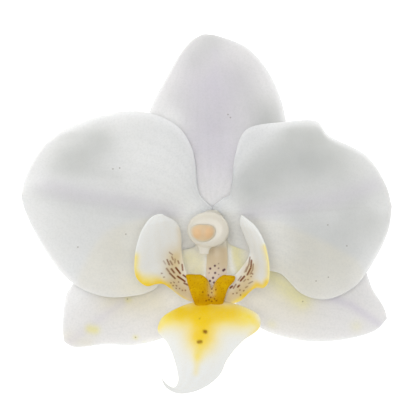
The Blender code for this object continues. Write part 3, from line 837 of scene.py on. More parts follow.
def vein_field(tepal, along, across):
    """Fine veins that fan out from the claw and wander a little, from 0 between them to 1 on them."""
    wander = 0.16 * np.sin(7 * along + 2.3 * across + tepal.phase) + 0.10 * np.sin(17 * along - 5 * across)
    count = np.abs(across) ** 0.9 * tepal.kind.veins + wander * np.abs(across)
    vein = np.exp(-(((count - np.round(count)) / 0.2) ** 2))
    halves = count * 2
    branch = np.exp(-(((halves - np.round(halves)) / 0.3) ** 2)) * smoothstep(along, 0.35, 0.6)
    fade = (1 - np.abs(across) ** 6) * (1 - along**6)
    return np.maximum(vein, 0.5 * branch) * fade


def build_tepal(tepal, height, ground, settings, behind=None):
    shares = shares_along(TEPAL_ROWS)
    left, right = tepal_edges(tepal, shares)
    along = np.repeat(shares[:, None], TEPAL_COLUMNS, axis=1)
    across = np.repeat(shares_across(TEPAL_COLUMNS)[None, :], TEPAL_ROWS, axis=0)
    start = tepal.kind.reach[0]
    midrib = start + (tepal.length - start) * along**tepal.kind.fan
    midrib = np.stack([midrib, np.zeros_like(midrib)], axis=-1)
    edge = np.where((across >= 0)[..., None], left[:, None, :], right[:, None, :])
    flat = midrib + np.abs(across)[..., None] * (edge - midrib)
    z = height(tepal, along, across, np.linalg.norm(flat, axis=2)) * MM + AXIS[2]
    vein = vein_field(tepal, along, across)
    x, y = flat[..., 0], flat[..., 1]
    waves = np.sin(0.55 * x + 0.30 * y + tepal.phase) * np.sin(0.38 * y - 0.16 * x + 2 * tepal.phase)
    z += settings.undulation * waves * np.sin(math.pi * along) + settings.vein_relief * vein
    grid = np.dstack([turned(flat.reshape(-1, 2), tepal.angle).reshape(*flat.shape), z])
    thickness = sheet_thickness(along, across, settings.midrib_thickness, settings.margin_thickness)
    surface = closed_sheet(grid, thickness, {"across": across, "vein": vein, "out": x})
    fitted = fit_to_node(surface.points, tepal.node, surface.fields.pop("out") >= CLAW_START)
    surface.points[:, :2] = fitted[:, :2]
    surface.points[:, 2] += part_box(tepal.node)[0].z - surface.points[:, 2].min()
    surface.fields.update(brush(surface.points, tepal.marks))
    away = np.linalg.norm(surface.points[:, :2] - AXIS[:2], axis=1) / MM
    # Painted light: the margins are painted paler, fading out towards the hub and where a sepal lies behind.
    margin = smoothstep(np.abs(surface.fields.pop("across")), 0.90, 1.0)
    rim = RIM_PAINTED_LIGHT * margin * smoothstep(away, *RIM_FADE)
    if behind is not None:
        overlap = smoothstep(inside(surface.points[:, :2], behind), -0.4 * MM, 1.1 * MM)
        rim *= 1 - overlap
        # Painted shade: the petal is painted warmer and darker where the sepal lies behind it.
        surface.fields["warm"] = 1 - (1 - surface.fields["warm"]) * (1 - OVERLAP_PAINTED_SHADE * overlap)
    surface.fields["painted_light"] = 1 - (1 - surface.fields["painted_light"]) * (1 - rim)
    finish = tepal_finish(f"{tepal.node} tissue", ground, settings, tepal.specks)
    piece = add_mesh(f"{tepal.node}_blade", surface, finish)
    return settle(piece, [tepal.node])


class ORCHID_OT_build_sepals(bpy.types.Operator):
    """Build the three sepals, swept back so that their tips rest on the floor"""

    bl_idname = "orchid.build_sepals"
    bl_label = "Build Sepals"

    def execute(self, context):
        settings = context.scene.orchid_tepals
        for sepal in (DORSAL_SEPAL, LEFT_SEPAL, RIGHT_SEPAL):
            build_tepal(sepal, sepal_height, settings.sepal_white, settings)
        return {"FINISHED"}


class ORCHID_OT_build_petals(bpy.types.Operator):
    """Build the two broad petals in front of the sepals"""

    bl_idname = "orchid.build_petals"
    bl_label = "Build Petals"

    def execute(self, context):
        settings = context.scene.orchid_tepals
        for petal, sepal in ((LEFT_PETAL, LEFT_SEPAL), (RIGHT_PETAL, RIGHT_SEPAL)):
            behind = tepal_outline(sepal)
            build_tepal(petal, petal_height, settings.petal_white, settings, behind)
        return {"FINISHED"}


# ---------------------------------------------------------------- lip

LIP_ROOT = np.array([-0.2, -13.9, 12.6])  # where the lobes meet, in millimetres from the flower's axis
LOBE_ROWS = 171
LOBE_COLUMNS = 101


@dataclass
class Lobe:
    """A lobe of the lip between two edges, given as shares of (spread, length, rise) from the lip's root."""

    name: str
    size: tuple  # spread, length and rise in millimetres
    inner_edge: tuple
    outer_edge: tuple
    bulge: float
    marks: tuple
    dashes: tuple = ()
    dots: tuple = ()


LEFT_LOBE = Lobe(
    name="lip_side_lobe_left",
    size=(-12.2, 14.3, 6.0),
    inner_edge=(
        (0.19, 0.22, 0.00), (0.30, 0.31, 0.02), (0.38, 0.57, 0.08), (0.39, 0.79, 0.24), (0.45, 0.91, 0.44),
        (0.63, 1.0, 0.74),
    ),
    outer_edge=(
        (0.19, 0.00, 0.03), (0.36, 0.06, 0.16), (0.62, 0.22, 0.48), (0.71, 0.22, 0.61), (0.84, 0.20, 0.81),
        (0.97, 0.30, 0.93), (0.98, 0.57, 0.98), (0.88, 0.85, 0.95), (0.75, 0.98, 0.85), (0.63, 1.0, 0.75),
    ),
    bulge=-1.3,
    marks=(
        Mark("tan", ((-5.0, -7.4), (-5.2, -9.2), (-4.6, -11.6), (-3.4, -14.0)), 1.7, 1.0),
        Mark("tan", ((-5.4, -11.8), (-3.6, -13.4), (-2.0, -14.4)), 1.4, 0.9),
        Mark("tan", ((-4.2, -2.8), (-4.1, -6.0)), 0.7, 0.5),
        Mark("yellow", ((-11.5, -7.2), (-11.6, -9.0), (-11.1, -10.8), (-9.8, -11.6)), 0.7, 0.80),
        Mark("yellow", ((-10.6, -10.6), (-8.2, -11.0)), 0.9, 0.65),
        Mark(
            "deep_yellow", ((-11.4, -10.6), (-10.4, -11.7), (-8.8, -11.8), (-7.4, -11.4), (-6.2, -12.1)),
            0.7, 1.0,
        ),
        Mark("yellow", ((-6.2, -12.3), (-4.6, -13.6), (-3.0, -14.6)), 0.36, 0.75),
    ),
    dashes=(
        (0.75, ((-6.35, -7.7), (-6.0, -8.5))), (0.6, ((-5.85, -7.9), (-5.5, -8.5))),
        (0.5, ((-5.6, -7.2), (-5.4, -7.7))), (0.4, ((-6.0, -6.5), (-5.5, -6.9))),
        (0.4, ((-5.05, -7.6), (-5.1, -8.2))), (0.6, ((-4.6, -7.9), (-4.45, -8.3))),
        (0.75, ((-3.95, -8.5), (-3.85, -9.4))), (1.0, ((-4.95, -9.0), (-4.25, -9.9))),
        (0.9, ((-5.65, -9.2), (-5.2, -9.8))), (0.6, ((-6.45, -9.1), (-6.0, -9.7))),
        (0.85, ((-5.9, -9.9), (-5.1, -10.7))), (1.0, ((-4.65, -10.4), (-3.5, -11.2))),
        (0.9, ((-3.75, -10.2), (-3.2, -10.6))), (0.8, ((-3.6, -11.5), (-3.0, -11.8))),
        (0.35, ((-6.9, -7.9), (-6.6, -8.4))),
    ),
    dots=(
        (-7.2, -9.9), (-6.85, -10.5), (-5.75, -11.4), (-5.25, -11.35), (-5.4, -11.85), (-4.85, -11.9),
        (-4.5, -11.3), (-4.35, -12.35), (-3.9, -12.65), (-3.4, -12.65), (-4.9, -12.3),
    ),
)
RIGHT_LOBE = Lobe(
    name="lip_side_lobe_right",
    size=(9.25, 14.3, 6.0),
    inner_edge=(
        (0.20, 0.20, 0.00), (0.39, 0.30, 0.05), (0.66, 0.56, 0.27), (0.57, 0.76, 0.46), (0.49, 0.91, 0.66),
        (0.52, 0.99, 0.81),
    ),
    outer_edge=(
        (0.21, -0.01, 0.05), (0.35, 0.00, 0.08), (0.48, 0.02, 0.12), (0.74, 0.17, 0.45), (0.90, 0.18, 0.73),
        (0.98, 0.25, 0.88), (0.99, 0.44, 0.97), (0.91, 0.68, 1.0), (0.76, 0.86, 0.95), (0.52, 0.99, 0.81),
    ),
    bulge=-1.3,
    marks=(
        Mark("tan", ((7.1, -9.0), (6.8, -10.6), (5.8, -12.4), (4.0, -14.0)), 1.15, 0.95),
        Mark("tan", ((6.0, -12.6), (3.6, -14.2)), 1.3, 0.9),
        Mark("yellow", ((9.4, -5.6), (10.0, -8.0), (10.0, -10.4), (9.4, -11.8)), 0.5, 0.62),
        Mark(
            "deep_yellow", ((9.7, -11.4), (9.2, -12.1), (8.1, -11.7), (7.2, -12.7), (6.2, -13.6)), 0.6, 0.95,
        ),
        Mark("yellow", ((6.2, -13.6), (4.4, -14.8)), 0.45, 0.75),
    ),
    dashes=(
        (0.55, ((7.0, -7.3), (6.85, -8.4), (6.35, -9.6))), (0.9, ((7.25, -7.8), (7.15, -9.0), (6.6, -10.1))),
        (0.45, ((7.55, -8.4), (7.45, -9.3), (7.05, -10.0))), (0.35, ((6.5, -8.9), (6.15, -9.7))),
        (0.5, ((5.6, -10.4), (5.15, -11.0))), (1.0, ((6.1, -10.4), (5.5, -11.1))),
        (1.0, ((4.15, -12.0), (3.85, -12.25))), (0.6, ((4.75, -11.7), (4.35, -12.3))),
        (0.9, ((5.3, -11.85), (5.05, -12.1))), (0.4, ((6.85, -11.5), (7.4, -11.2))),
        (0.4, ((6.3, -12.2), (6.6, -12.0))), (0.4, ((6.0, -11.2), (6.3, -10.9))),
    ),
    dots=(
        (6.0, -12.7), (5.4, -12.6), (7.2, -10.4), (7.45, -10.0), (4.9, -13.1), (5.5, -13.4), (4.3, -13.2),
        (6.7, -10.9), (7.3, -9.9),
    ),
)
MIDLOBE = Lobe(
    name="lip_midlobe",
    size=(8.5, -14.3, 6.0),
    inner_edge=(
        (-0.28, -0.02, 0.00), (-0.62, 0.05, 0.12), (-0.93, 0.17, 0.40), (-0.99, 0.31, 0.58),
        (-0.82, 0.43, 0.78), (-0.67, 0.65, 0.96), (-0.61, 0.86, 0.96), (-0.68, 0.93, 0.93),
        (-0.81, 0.90, 1.0), (-0.92, 0.82, 1.12),
    ),
    outer_edge=(
        (0.25, -0.02, 0.00), (0.62, 0.04, 0.17), (0.90, 0.14, 0.34), (0.90, 0.27, 0.54), (0.56, 0.43, 0.78),
        (0.30, 0.62, 0.94), (0.15, 0.80, 0.97), (-0.22, 0.96, 0.93), (-0.62, 1.0, 0.90), (-0.84, 0.93, 1.0),
        (-0.93, 0.82, 1.12),
    ),
    bulge=1.1,
    marks=(
        Mark("yellow", ((-6.0, -16.8), (0.0, -16.4), (6.0, -17.0)), 2.1, 0.92),
        Mark("yellow", ((-0.2, -16.0), (-0.6, -19.0), (-0.8, -20.4)), 2.4, 0.92),
        Mark("deep_yellow", ((-0.2, -15.6), (-0.6, -18.2), (-0.9, -19.6)), 2.1, 0.95),
        Mark("deep_yellow", ((-4.6, -16.2), (4.2, -16.2)), 1.4, 0.92),
        Mark("yellow", ((-0.9, -21.0), (-1.4, -23.2)), 0.9, 0.60),
        Mark("yellow", ((-1.4, -23.0), (-1.7, -25.8)), 0.5, 0.35),
        Mark("yellow", ((-7.8, -18.6), (-6.6, -17.0), (-4.0, -15.8)), 0.8, 0.75),
        Mark("yellow", ((4.4, -15.8), (7.4, -17.0), (8.5, -18.6), (7.6, -19.8)), 0.8, 0.75),
    ),
)

STRIPE = (0.155, 0.06)  # radius and soft edge in millimetres
DOT = (0.13, 0.06)
MIDLOBE_SPOTS = ((0.85, ((-0.32, -19.2), (-0.12, -19.25))), (0.7, ((-1.3, -20.85), (-0.9, -20.8))))
MIDLOBE_DOTS = ((0.4, ((-1.1, -17.1),)),)
FOOT_SPOTS = (  # strength, radius and place
    (1.0, 0.19, (0.6, -9.15)), (1.0, 0.18, (1.35, -8.7)), (0.5, 0.14, (1.95, -8.35)),
    (0.6, 0.17, (1.95, -9.1)), (1.0, 0.20, (2.72, -9.45)), (1.0, 0.19, (2.90, -9.32)),
    (1.0, 0.18, (1.4, -9.85)), (0.4, 0.16, (0.42, -9.85)), (0.5, 0.14, (1.95, -10.1)),
    (1.0, 0.19, (1.05, -10.65)), (1.0, 0.19, (0.55, -11.15)), (0.9, 0.18, (1.2, -11.4)),
)
CALLUS_DOTS = (
    (0.85, -12.4), (0.85, -13.0), (0.3, -13.4), (0.7, -13.75), (1.3, -14.0), (0.4, -14.15), (-0.05, -14.3),
    (1.6, -14.3), (1.5, -12.5), (-0.6, -12.9), (0.85, -14.4),
)


def lobe_surface(lobe, settings):
    shares = shares_along(LOBE_ROWS)
    size = np.array(lobe.size)
    inner, outer = (smooth(np.array(edge) * size, shares) for edge in (lobe.inner_edge, lobe.outer_edge))
    across = np.repeat(shares_across(LOBE_COLUMNS)[None, :], LOBE_ROWS, axis=0)
    along = np.repeat(shares[:, None], LOBE_COLUMNS, axis=1)
    share = (1 - across) / 2
    grid = LIP_ROOT + inner[:, None, :] + share[..., None] * (outer - inner)[:, None, :]
    grid[..., 2] += lobe.bulge * np.sin(math.pi * share) * np.sin(math.pi * np.minimum(1.0, 0.15 + along))
    furrows = np.cos(22 * share + 1.5 * np.sin(4 * along)) * np.sin(math.pi * share)
    grid[..., 2] += 0.025 * furrows * np.sin(math.pi * along)
    grid = grid * MM + AXIS
    thickness = sheet_thickness(along, across, settings.lobe_thickness, settings.lobe_margin)
    return closed_sheet(grid, thickness, {"along": along, "across": across, "vein": 0.5 + 0.5 * furrows})


def lobe_finish(name, settings):
    """Waxy white tissue with washes of yellow and tan, fine striations, and brown stripes and dots."""
    finish = Finish(name, scatter=0.12, specular=0.07)
    slow = finish.noise(1.6 * MM, 3.0)
    grain = finish.noise(0.22 * MM, 2.0)
    washes = (("tan", settings.tan), ("yellow", settings.yellow), ("deep_yellow", settings.deep_yellow))
    colour = washed(finish, settings.lobe_white, washes, slow)
    colour = finish.mix(colour, settings.tan, finish.maths("MULTIPLY", finish.mask("vein"), 0.06))
    colour = finish.mix(colour, settings.tan, finish.span(grain, 0.4, 0.8, 0.0, 0.12))
    ragged = finish.span(finish.noise(0.12 * MM, 2.0), 0.25, 0.6, 0.72, 1.0)
    colour = finish.mix(colour, settings.brown, finish.maths("MULTIPLY", finish.mask("brown"), ragged))
    return finish.done(colour, finish.span(grain, 0.2, 0.8, 0.36, 0.52), finish.cells(0.14 * MM), 0.015 * MM)


def callus_parts():
    """The two horns, as thick blunt sheets, and the plate that carries them down to the column's foot."""
    left = Lobe(
        "left horn", (1.0, 1.0, 1.0),
        ((-1.6, -15.1, 12.9), (-2.35, -13.6, 14.1), (-2.95, -11.8, 14.9), (-3.35, -10.05, 15.3)),
        (
            (1.1, -15.4, 12.9), (1.15, -13.6, 13.6), (0.8, -12.3, 14.2), (0.4, -11.3, 14.7),
            (-0.1, -10.6, 15.0), (-1.1, -10.05, 15.3),
        ),
        0.9, (),
    )
    right = Lobe(
        "right horn", (1.0, 1.0, 1.0),
        (
            (0.3, -15.4, 12.9), (0.5, -13.8, 13.5), (0.9, -12.5, 14.1), (1.3, -11.5, 14.6),
            (1.9, -10.7, 15.0), (2.9, -10.1, 15.3),
        ),
        (
            (2.4, -15.1, 12.9), (3.0, -13.4, 14.0), (3.6, -11.9, 14.7), (4.5, -10.9, 15.1),
            (4.6, -10.3, 15.25),
        ),
        0.9, (),
    )
    parts = []
    shares = shares_along(49)
    across = np.repeat(shares_across(33)[None, :], 49, axis=0)
    along = np.repeat(shares[:, None], 33, axis=1)
    for horn in (left, right):
        inner, outer = (smooth(edge, shares) for edge in (horn.inner_edge, horn.outer_edge))
        share = ((1 - across) / 2)[..., None]
        grid = inner[:, None, :] + share * (outer - inner)[:, None, :]
        grid[..., 2] += 0.35 * np.sin(math.pi * share[..., 0])
        rounding = (1 - np.abs(across) ** 4) * (1 - np.abs(2 * along - 1) ** 10)
        thickness = (2.1 - 0.8 * along) * np.sqrt(np.maximum(rounding, 0.0))
        parts.append(closed_sheet(grid * MM, thickness * MM, {}))
    x, y, z = LIP_ROOT + AXIS / MM
    plate = [
        (x + 0.3, y + 2.3, z - 1.3, 1.5, 0.5), (x + 0.3, y + 1.4, z - 0.9, 1.9, 0.6),
        (x + 0.1, y + 0.4, z - 0.3, 2.5, 0.9), (x, y - 0.7, z + 0.1, 2.4, 0.8),
        (x, y - 1.5, z + 0.3, 1.5, 0.4),
    ]
    parts.append(loft(np.array(plate) * MM, 48, 40))
    return parts


def callus_finish(settings):
    """Golden, pimpled and stippled, with brown dots at the foot of a tan middle strip."""
    finish = Finish("callus tissue", specular=0.05)
    slow = finish.noise(1.2 * MM, 3.0)
    grain = finish.cells(0.36 * MM)
    washes = (("tan", settings.tan), ("deep_yellow", settings.deep_yellow), ("stipple", settings.stipple))
    colour = washed(finish, settings.gold, washes, slow)
    colour = finish.mix(colour, settings.deep_yellow, finish.span(slow, 0.45, 0.75, 0.0, 0.35))
    colour = finish.mix(colour, settings.stipple, finish.span(grain, 0.12, 0.36, 0.66, 0.0))
    colour = finish.mix(colour, settings.brown, finish.maths("MULTIPLY", finish.mask("brown"), 0.8))
    return finish.done(colour, finish.span(slow, 0.2, 0.8, 0.34, 0.5), grain, 0.06 * MM)


class ORCHID_OT_build_lip(bpy.types.Operator):
    """Build the lip: two upright side lobes, the midlobe with its tendril, and the horned callus"""

    bl_idname = "orchid.build_lip"
    bl_label = "Build Lip"

    def execute(self, context):
        settings = context.scene.orchid_lip
        surfaces = [(lobe, lobe_surface(lobe, settings)) for lobe in (LEFT_LOBE, RIGHT_LOBE, MIDLOBE)]
        every = np.concatenate([surface.points for _, surface in surfaces])
        low, high = every.min(axis=0), every.max(axis=0)
        new_low, new_high = (np.array(corner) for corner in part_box("lip"))
        new_low[2] = low[2]
        finish = lobe_finish("lip tissue", settings)
        for lobe, surface in surfaces:
            surface.points = fit_between(surface.points, low, high, new_low, new_high)
            surface.fields.update(brush(surface.points, lobe.marks))
            strokes = [(lobe.dashes, *STRIPE), ([(0.8, (place,)) for place in lobe.dots], *DOT)]
            if lobe is MIDLOBE:
                strokes = [(MIDLOBE_SPOTS, 0.30, 0.16), (MIDLOBE_DOTS, 0.16, 0.1)]
            brown = np.maximum(*[dashes(surface.points, *stroke) for stroke in strokes])
            surface.fields["brown"] = brown * surface.fields["front"]
            settle(add_mesh(lobe.name, surface, finish), ["lip"] if lobe is MIDLOBE else [])

        callus = fused("lip_callus", callus_parts(), [], settings.remesh, 3)
        points = mesh_points(callus.data)
        strip = (
            Mark("tan", ((0.8, -11.4), (0.8, -13.2)), 0.5, 0.85),
            Mark("deep_yellow", ((-1.5, -15.6), (3.0, -15.6)), 0.5, 0.6),
            Mark("stipple", ((-1.4, -14.4), (2.4, -14.4)), 1.2, 0.35),
        )
        for mask, values in brush(points, strip).items():
            write_mask(callus.data, mask, values)
        write_mask(callus.data, "brown", dashes(points, [(1.0, (dot,)) for dot in CALLUS_DOTS], 0.13, 0.07))
        callus.data.materials.append(callus_finish(settings))
        settle(callus, [])
        return {"FINISHED"}


# ---------------------------------------------------------------- column and anther cap

COLUMN_ROOT = (0.0, -0.8, 9.3)
COLUMN_LEAN = (-0.7, -1.3)
COLUMN_HEIGHT = 8.9
CAP_SIDES = 96
CAP_RINGS = 26


def column_parts():
    """The column, its foot reaching down to the lip, and the beak under its head."""
    root_x, root_y, root_z = COLUMN_ROOT
    lean_x, lean_y = COLUMN_LEAN

    def station(share, height, half_width, half_depth):
        x, y = root_x + share * lean_x, root_y + share * lean_y
        return (x, y, root_z + height * COLUMN_HEIGHT, half_width, half_depth)

    body = [
        station(-0.1, -0.08, 2.0, 1.9), station(0.2, 0.22, 1.8, 1.7), station(0.5, 0.5, 2.1, 1.85),
        station(0.7, 0.75, 3.1, 2.7), station(0.9, 0.88, 3.4, 2.85), station(0.9, 0.95, 3.25, 2.7),
        station(0.9, 0.985, 2.85, 2.3), station(0.9, 1.0, 2.3, 1.8),
    ]
    foot = [
        (0.1, -0.6, 10.3, 1.7, 0.75), (0.8, -5.6, 10.2, 1.7, 0.75), (0.7, -9.0, 10.7, 1.7, 0.75),
        (0.4, -11.2, 11.3, 1.5, 0.75), (0.3, -12.2, 11.8, 1.3, 0.6),
    ]
    head_x, head_y = root_x + lean_x, root_y + lean_y
    beak = [
        (head_x - 0.55, head_y - 1.8, 17.0, 1.5, 0.55), (head_x - 0.55, head_y - 2.5, 17.15, 1.25, 0.45),
        (head_x - 0.6, head_y - 3.1, 17.15, 0.85, 0.4), (head_x - 0.6, head_y - 3.8, 17.1, 0.75, 0.35),
    ]
    lofts = ((body, 72, 60), (foot, 48, 60), (beak, 32, 24))
    parts = []
    for stations, sides, count in lofts:
        parts.append(loft(np.array(stations) * MM + (*AXIS, 0.0, 0.0), sides, count))
    return parts


def cap_grid(margin):
    """Places over a D-shaped outline, flat side up and narrower below, from its middle to its rim."""
    turn = np.linspace(0.0, 2 * math.pi, CAP_SIDES + 1)
    c, s = np.cos(turn), np.sin(turn)
    squareness = np.where(s > 0, 0.6, 1.0)
    x = np.copysign(np.abs(c) ** squareness, c) * (2.1 + margin)
    y = np.where(s > 0, s * (1.15 + margin), s * (1.8 + margin))
    share = np.sin(np.linspace(0.0, 1.0, CAP_RINGS) * math.pi / 2)[:, None]
    return share * x, share * y, np.repeat(share, CAP_SIDES + 1, axis=1)


def cap_surface(margin, bottom, rise, lobes):
    """A low dome with a flat underside; its two pollen chambers swell either side of a keel."""
    x, y, share = cap_grid(margin)
    top = rise * (1 - share**2.4) * np.sqrt(np.maximum(1 - share**16, 0.0))
    chambers = np.exp(-(((np.abs(x) - 0.95) / 0.6) ** 2 + ((y + 0.35) / 0.8) ** 2))
    top = top + lobes * chambers * (1 - share**4)
    centre = np.array(COLUMN_ROOT) + (COLUMN_LEAN[0] - 0.75, COLUMN_LEAN[1] - 0.1, COLUMN_HEIGHT)
    upper = np.dstack([x, y, top]) + centre
    lower = np.dstack([x, y, np.full_like(x, bottom)]) + centre
    rows, columns = share.shape
    points = np.concatenate([upper.reshape(-1, 3), lower.reshape(-1, 3)]) * MM + AXIS
    rim = (rows - 1) * columns + np.arange(columns - 1)
    skirt = np.stack([rim, rim + 1, rim + 1 + rows * columns, rim + rows * columns], axis=-1)
    under = grid_faces(rows, columns, rows * columns)[:, ::-1]
    faces = np.concatenate([grid_faces(rows, columns), under, skirt])
    fields = {"share": np.tile(share.reshape(-1), 2), "chamber": np.tile(chambers.reshape(-1), 2)}
    return Surface(points, faces, fields)


def stigma():
    """The hollow on the column's face under its beak."""
    x, y = COLUMN_ROOT[0] + 0.6 * COLUMN_LEAN[0], COLUMN_ROOT[1] + 0.6 * COLUMN_LEAN[1]
    hollow = [
        (x, y - 2.6, 13.2, 0.25, 0.2), (x, y - 2.6, 13.9, 1.0, 0.9), (x, y - 2.6, 15.2, 1.0, 0.8),
        (x, y - 2.6, 16.0, 0.25, 0.2),
    ]
    return loft(np.array(hollow) * MM + (*AXIS, 0.0, 0.0), 32, 24)


def column_finish(settings):
    """Waxy cream, painted lighter towards the top of the head, that turns tan and then pink down the foot,
    with purple spots there.
    """
    finish = Finish("column tissue", scatter=0.2, specular=0.4, coat=0.1)
    slow = finish.noise(1.4 * MM, 3.0)
    grain = finish.noise(0.2 * MM, 2.0)
    washes = (("foot", settings.foot), ("pink", settings.pink), ("rim", settings.rim))
    colour = washed(finish, settings.cream, washes, slow)
    colour = finish.mix(colour, settings.foot, finish.span(grain, 0.4, 0.8, 0.0, 0.14))
    colour = finish.mix(colour, settings.purple, finish.mask("purple"))
    return finish.done(colour, finish.span(grain, 0.2, 0.8, 0.36, 0.5), finish.cells(0.15 * MM), 0.012 * MM)


def cap_finish(settings):
    finish = Finish("anther tissue", scatter=0.25, specular=0.4, coat=0.08)
    slow = finish.noise(0.9 * MM, 3.0)
    grain = finish.noise(0.16 * MM, 2.0)
    swell = finish.span(finish.mask("chamber"), 0.05, 0.7, 0.35, 1.0)
    colour = finish.mix(settings.pale_peach, settings.peach, swell)
    colour = finish.mix(colour, settings.cream, finish.span(finish.mask("share"), 0.74, 1.0, 0.0, 0.9))
    colour = finish.mix(colour, settings.peach, finish.span(slow, 0.45, 0.75, 0.0, 0.35))
    return finish.done(colour, finish.span(grain, 0.2, 0.8, 0.38, 0.55), grain, 0.02 * MM)


class ORCHID_OT_build_column(bpy.types.Operator):
    """Build the column with its foot, beak, stigma and the seat for the anther cap"""

    bl_idname = "orchid.build_column"
    bl_label = "Build Column"

    def execute(self, context):
        settings = context.scene.orchid_column
        seat = cap_surface(-0.12, -0.55, 2.0, 0.0)
        column = fused("column_fused", column_parts(), [seat, stigma()], settings.remesh, 4)
        points = mesh_points(column.data)
        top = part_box("column")[1].z / MM
        _, y, z = (points / MM).T
        down = -y
        foot = smoothstep(down, 5.0, 6.2) * (1 - smoothstep(z, 14.2, 15.2))
        write_mask(column.data, "foot", foot)
        write_mask(column.data, "pink", foot * smoothstep(down, 8.2, 10.4) * 0.9)
        # Painted light: the column is painted paler towards the top of its head.
        write_mask(column.data, "rim", smoothstep(z, top - 7.0, top - 1.0) * (1 - foot))
        purple = np.zeros(len(points))
        for strength, radius, place in FOOT_SPOTS:
            purple = np.maximum(purple, dashes(points, [(strength, (place,))], radius, 0.07))
        write_mask(column.data, "purple", purple * (z < 13.4) * (z > 9.4))
        column.data.materials.append(column_finish(settings))
        settle(column, ["column"])
        return {"FINISHED"}


class ORCHID_OT_build_anther_cap(bpy.types.Operator):
    """Build the peach anther cap in its seat on the column's head"""

    bl_idname = "orchid.build_anther_cap"
    bl_label = "Build Anther Cap"

    def execute(self, context):
        surface = cap_surface(0.0, -0.5, 0.75, 0.3)
        surface.points = fit_to_node(surface.points, "anther_cap")
        cap = add_mesh("anther_cap_dome", surface, cap_finish(context.scene.orchid_column))
        settle(cap, ["anther_cap"])
        return {"FINISHED"}


# ---------------------------------------------------------------- stalk

STALK_ROWS = 150
STALK_SIDES = 72


def stalk_finish(settings):
    finish = Finish("stalk skin", scatter=0.12, specular=0.4)
    slow = finish.noise(1.8 * MM, 3.0)
    grain = finish.noise(0.25 * MM, 2.0)
    colour = washed(finish, settings.green, (("pale", settings.pale), ("cut", settings.cut)), slow)
    colour = finish.mix(colour, settings.pale, finish.span(grain, 0.45, 0.75, 0.0, 0.3))
    colour = finish.mix(colour, settings.pale, finish.span(slow, 0.5, 0.8, 0.0, 0.35))
    roughness = finish.span(grain, 0.2, 0.8, 0.36, 0.52)
    return finish.done(colour, roughness, finish.noise(0.3 * MM, 3.0), 0.03 * MM)


class ORCHID_OT_build_stalk(bpy.types.Operator):
    """Build the ridged stalk that bends down from the flower's back and lies on the floor"""

    bl_idname = "orchid.build_stalk"
    bl_label = "Build Stalk"

    def execute(self, context):
        settings = context.scene.orchid_stalk
        stations = [
            (0.0, -0.6, 9.2, 1.7, 1.6), (0.0, -0.5, 8.2, 1.9, 1.8), (0.0, -0.2, 6.8, 1.8, 1.8),
            (0.0, 0.0, 5.2, 1.6, 1.6), (0.0, 2.1, 3.16, 1.55, 1.55),
            (-0.2, 6.1, 1.69, 1.46, 1.46), (-0.7, 12.25, 1.42, 1.35, 1.35), (-1.3, 17.3, 1.35, 1.35, 1.35),
            (-1.31, 17.5, 1.35, 1.28, 1.28),
        ]
        path = np.array(stations) * MM + (*AXIS, 0.0, 0.0)
        surface = loft(path, STALK_SIDES, STALK_ROWS, settings.ridges, settings.ridge_height)
        low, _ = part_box("pedicel")
        surface.points[:, 2] += low.z - surface.points[:, 2].min()
        along = surface.fields["along"]
        surface.fields["pale"] = 1 - smoothstep(along, 0.12, 0.5)
        surface.fields["cut"] = smoothstep(along, 0.985, 0.997)
        stalk = add_mesh("stalk_skin", surface, stalk_finish(settings))
        settle(stalk, ["pedicel"])
        return {"FINISHED"}


# ---------------------------------------------------------------- stage

# radius and rise of the floor's turned-up rim, as shares of half its size
FLOOR_PROFILE = ((0.78, 0.0), (0.88, 0.01), (0.95, 0.05), (0.99, 0.12), (1.0, 0.3))
FLOOR_SIDES = 96
CAMERA_ASIDE = Vector((0.24, 0.65, 0.0)) * MM  # from the middle of the flower's box
FRONT_LIGHT = (0.5, (-0.06, 0.04, 1.6))  # side of the lamp, and its place from the flower's middle
SIDE_LIGHT = (0.35, (-0.28, 0.22, 0.5))


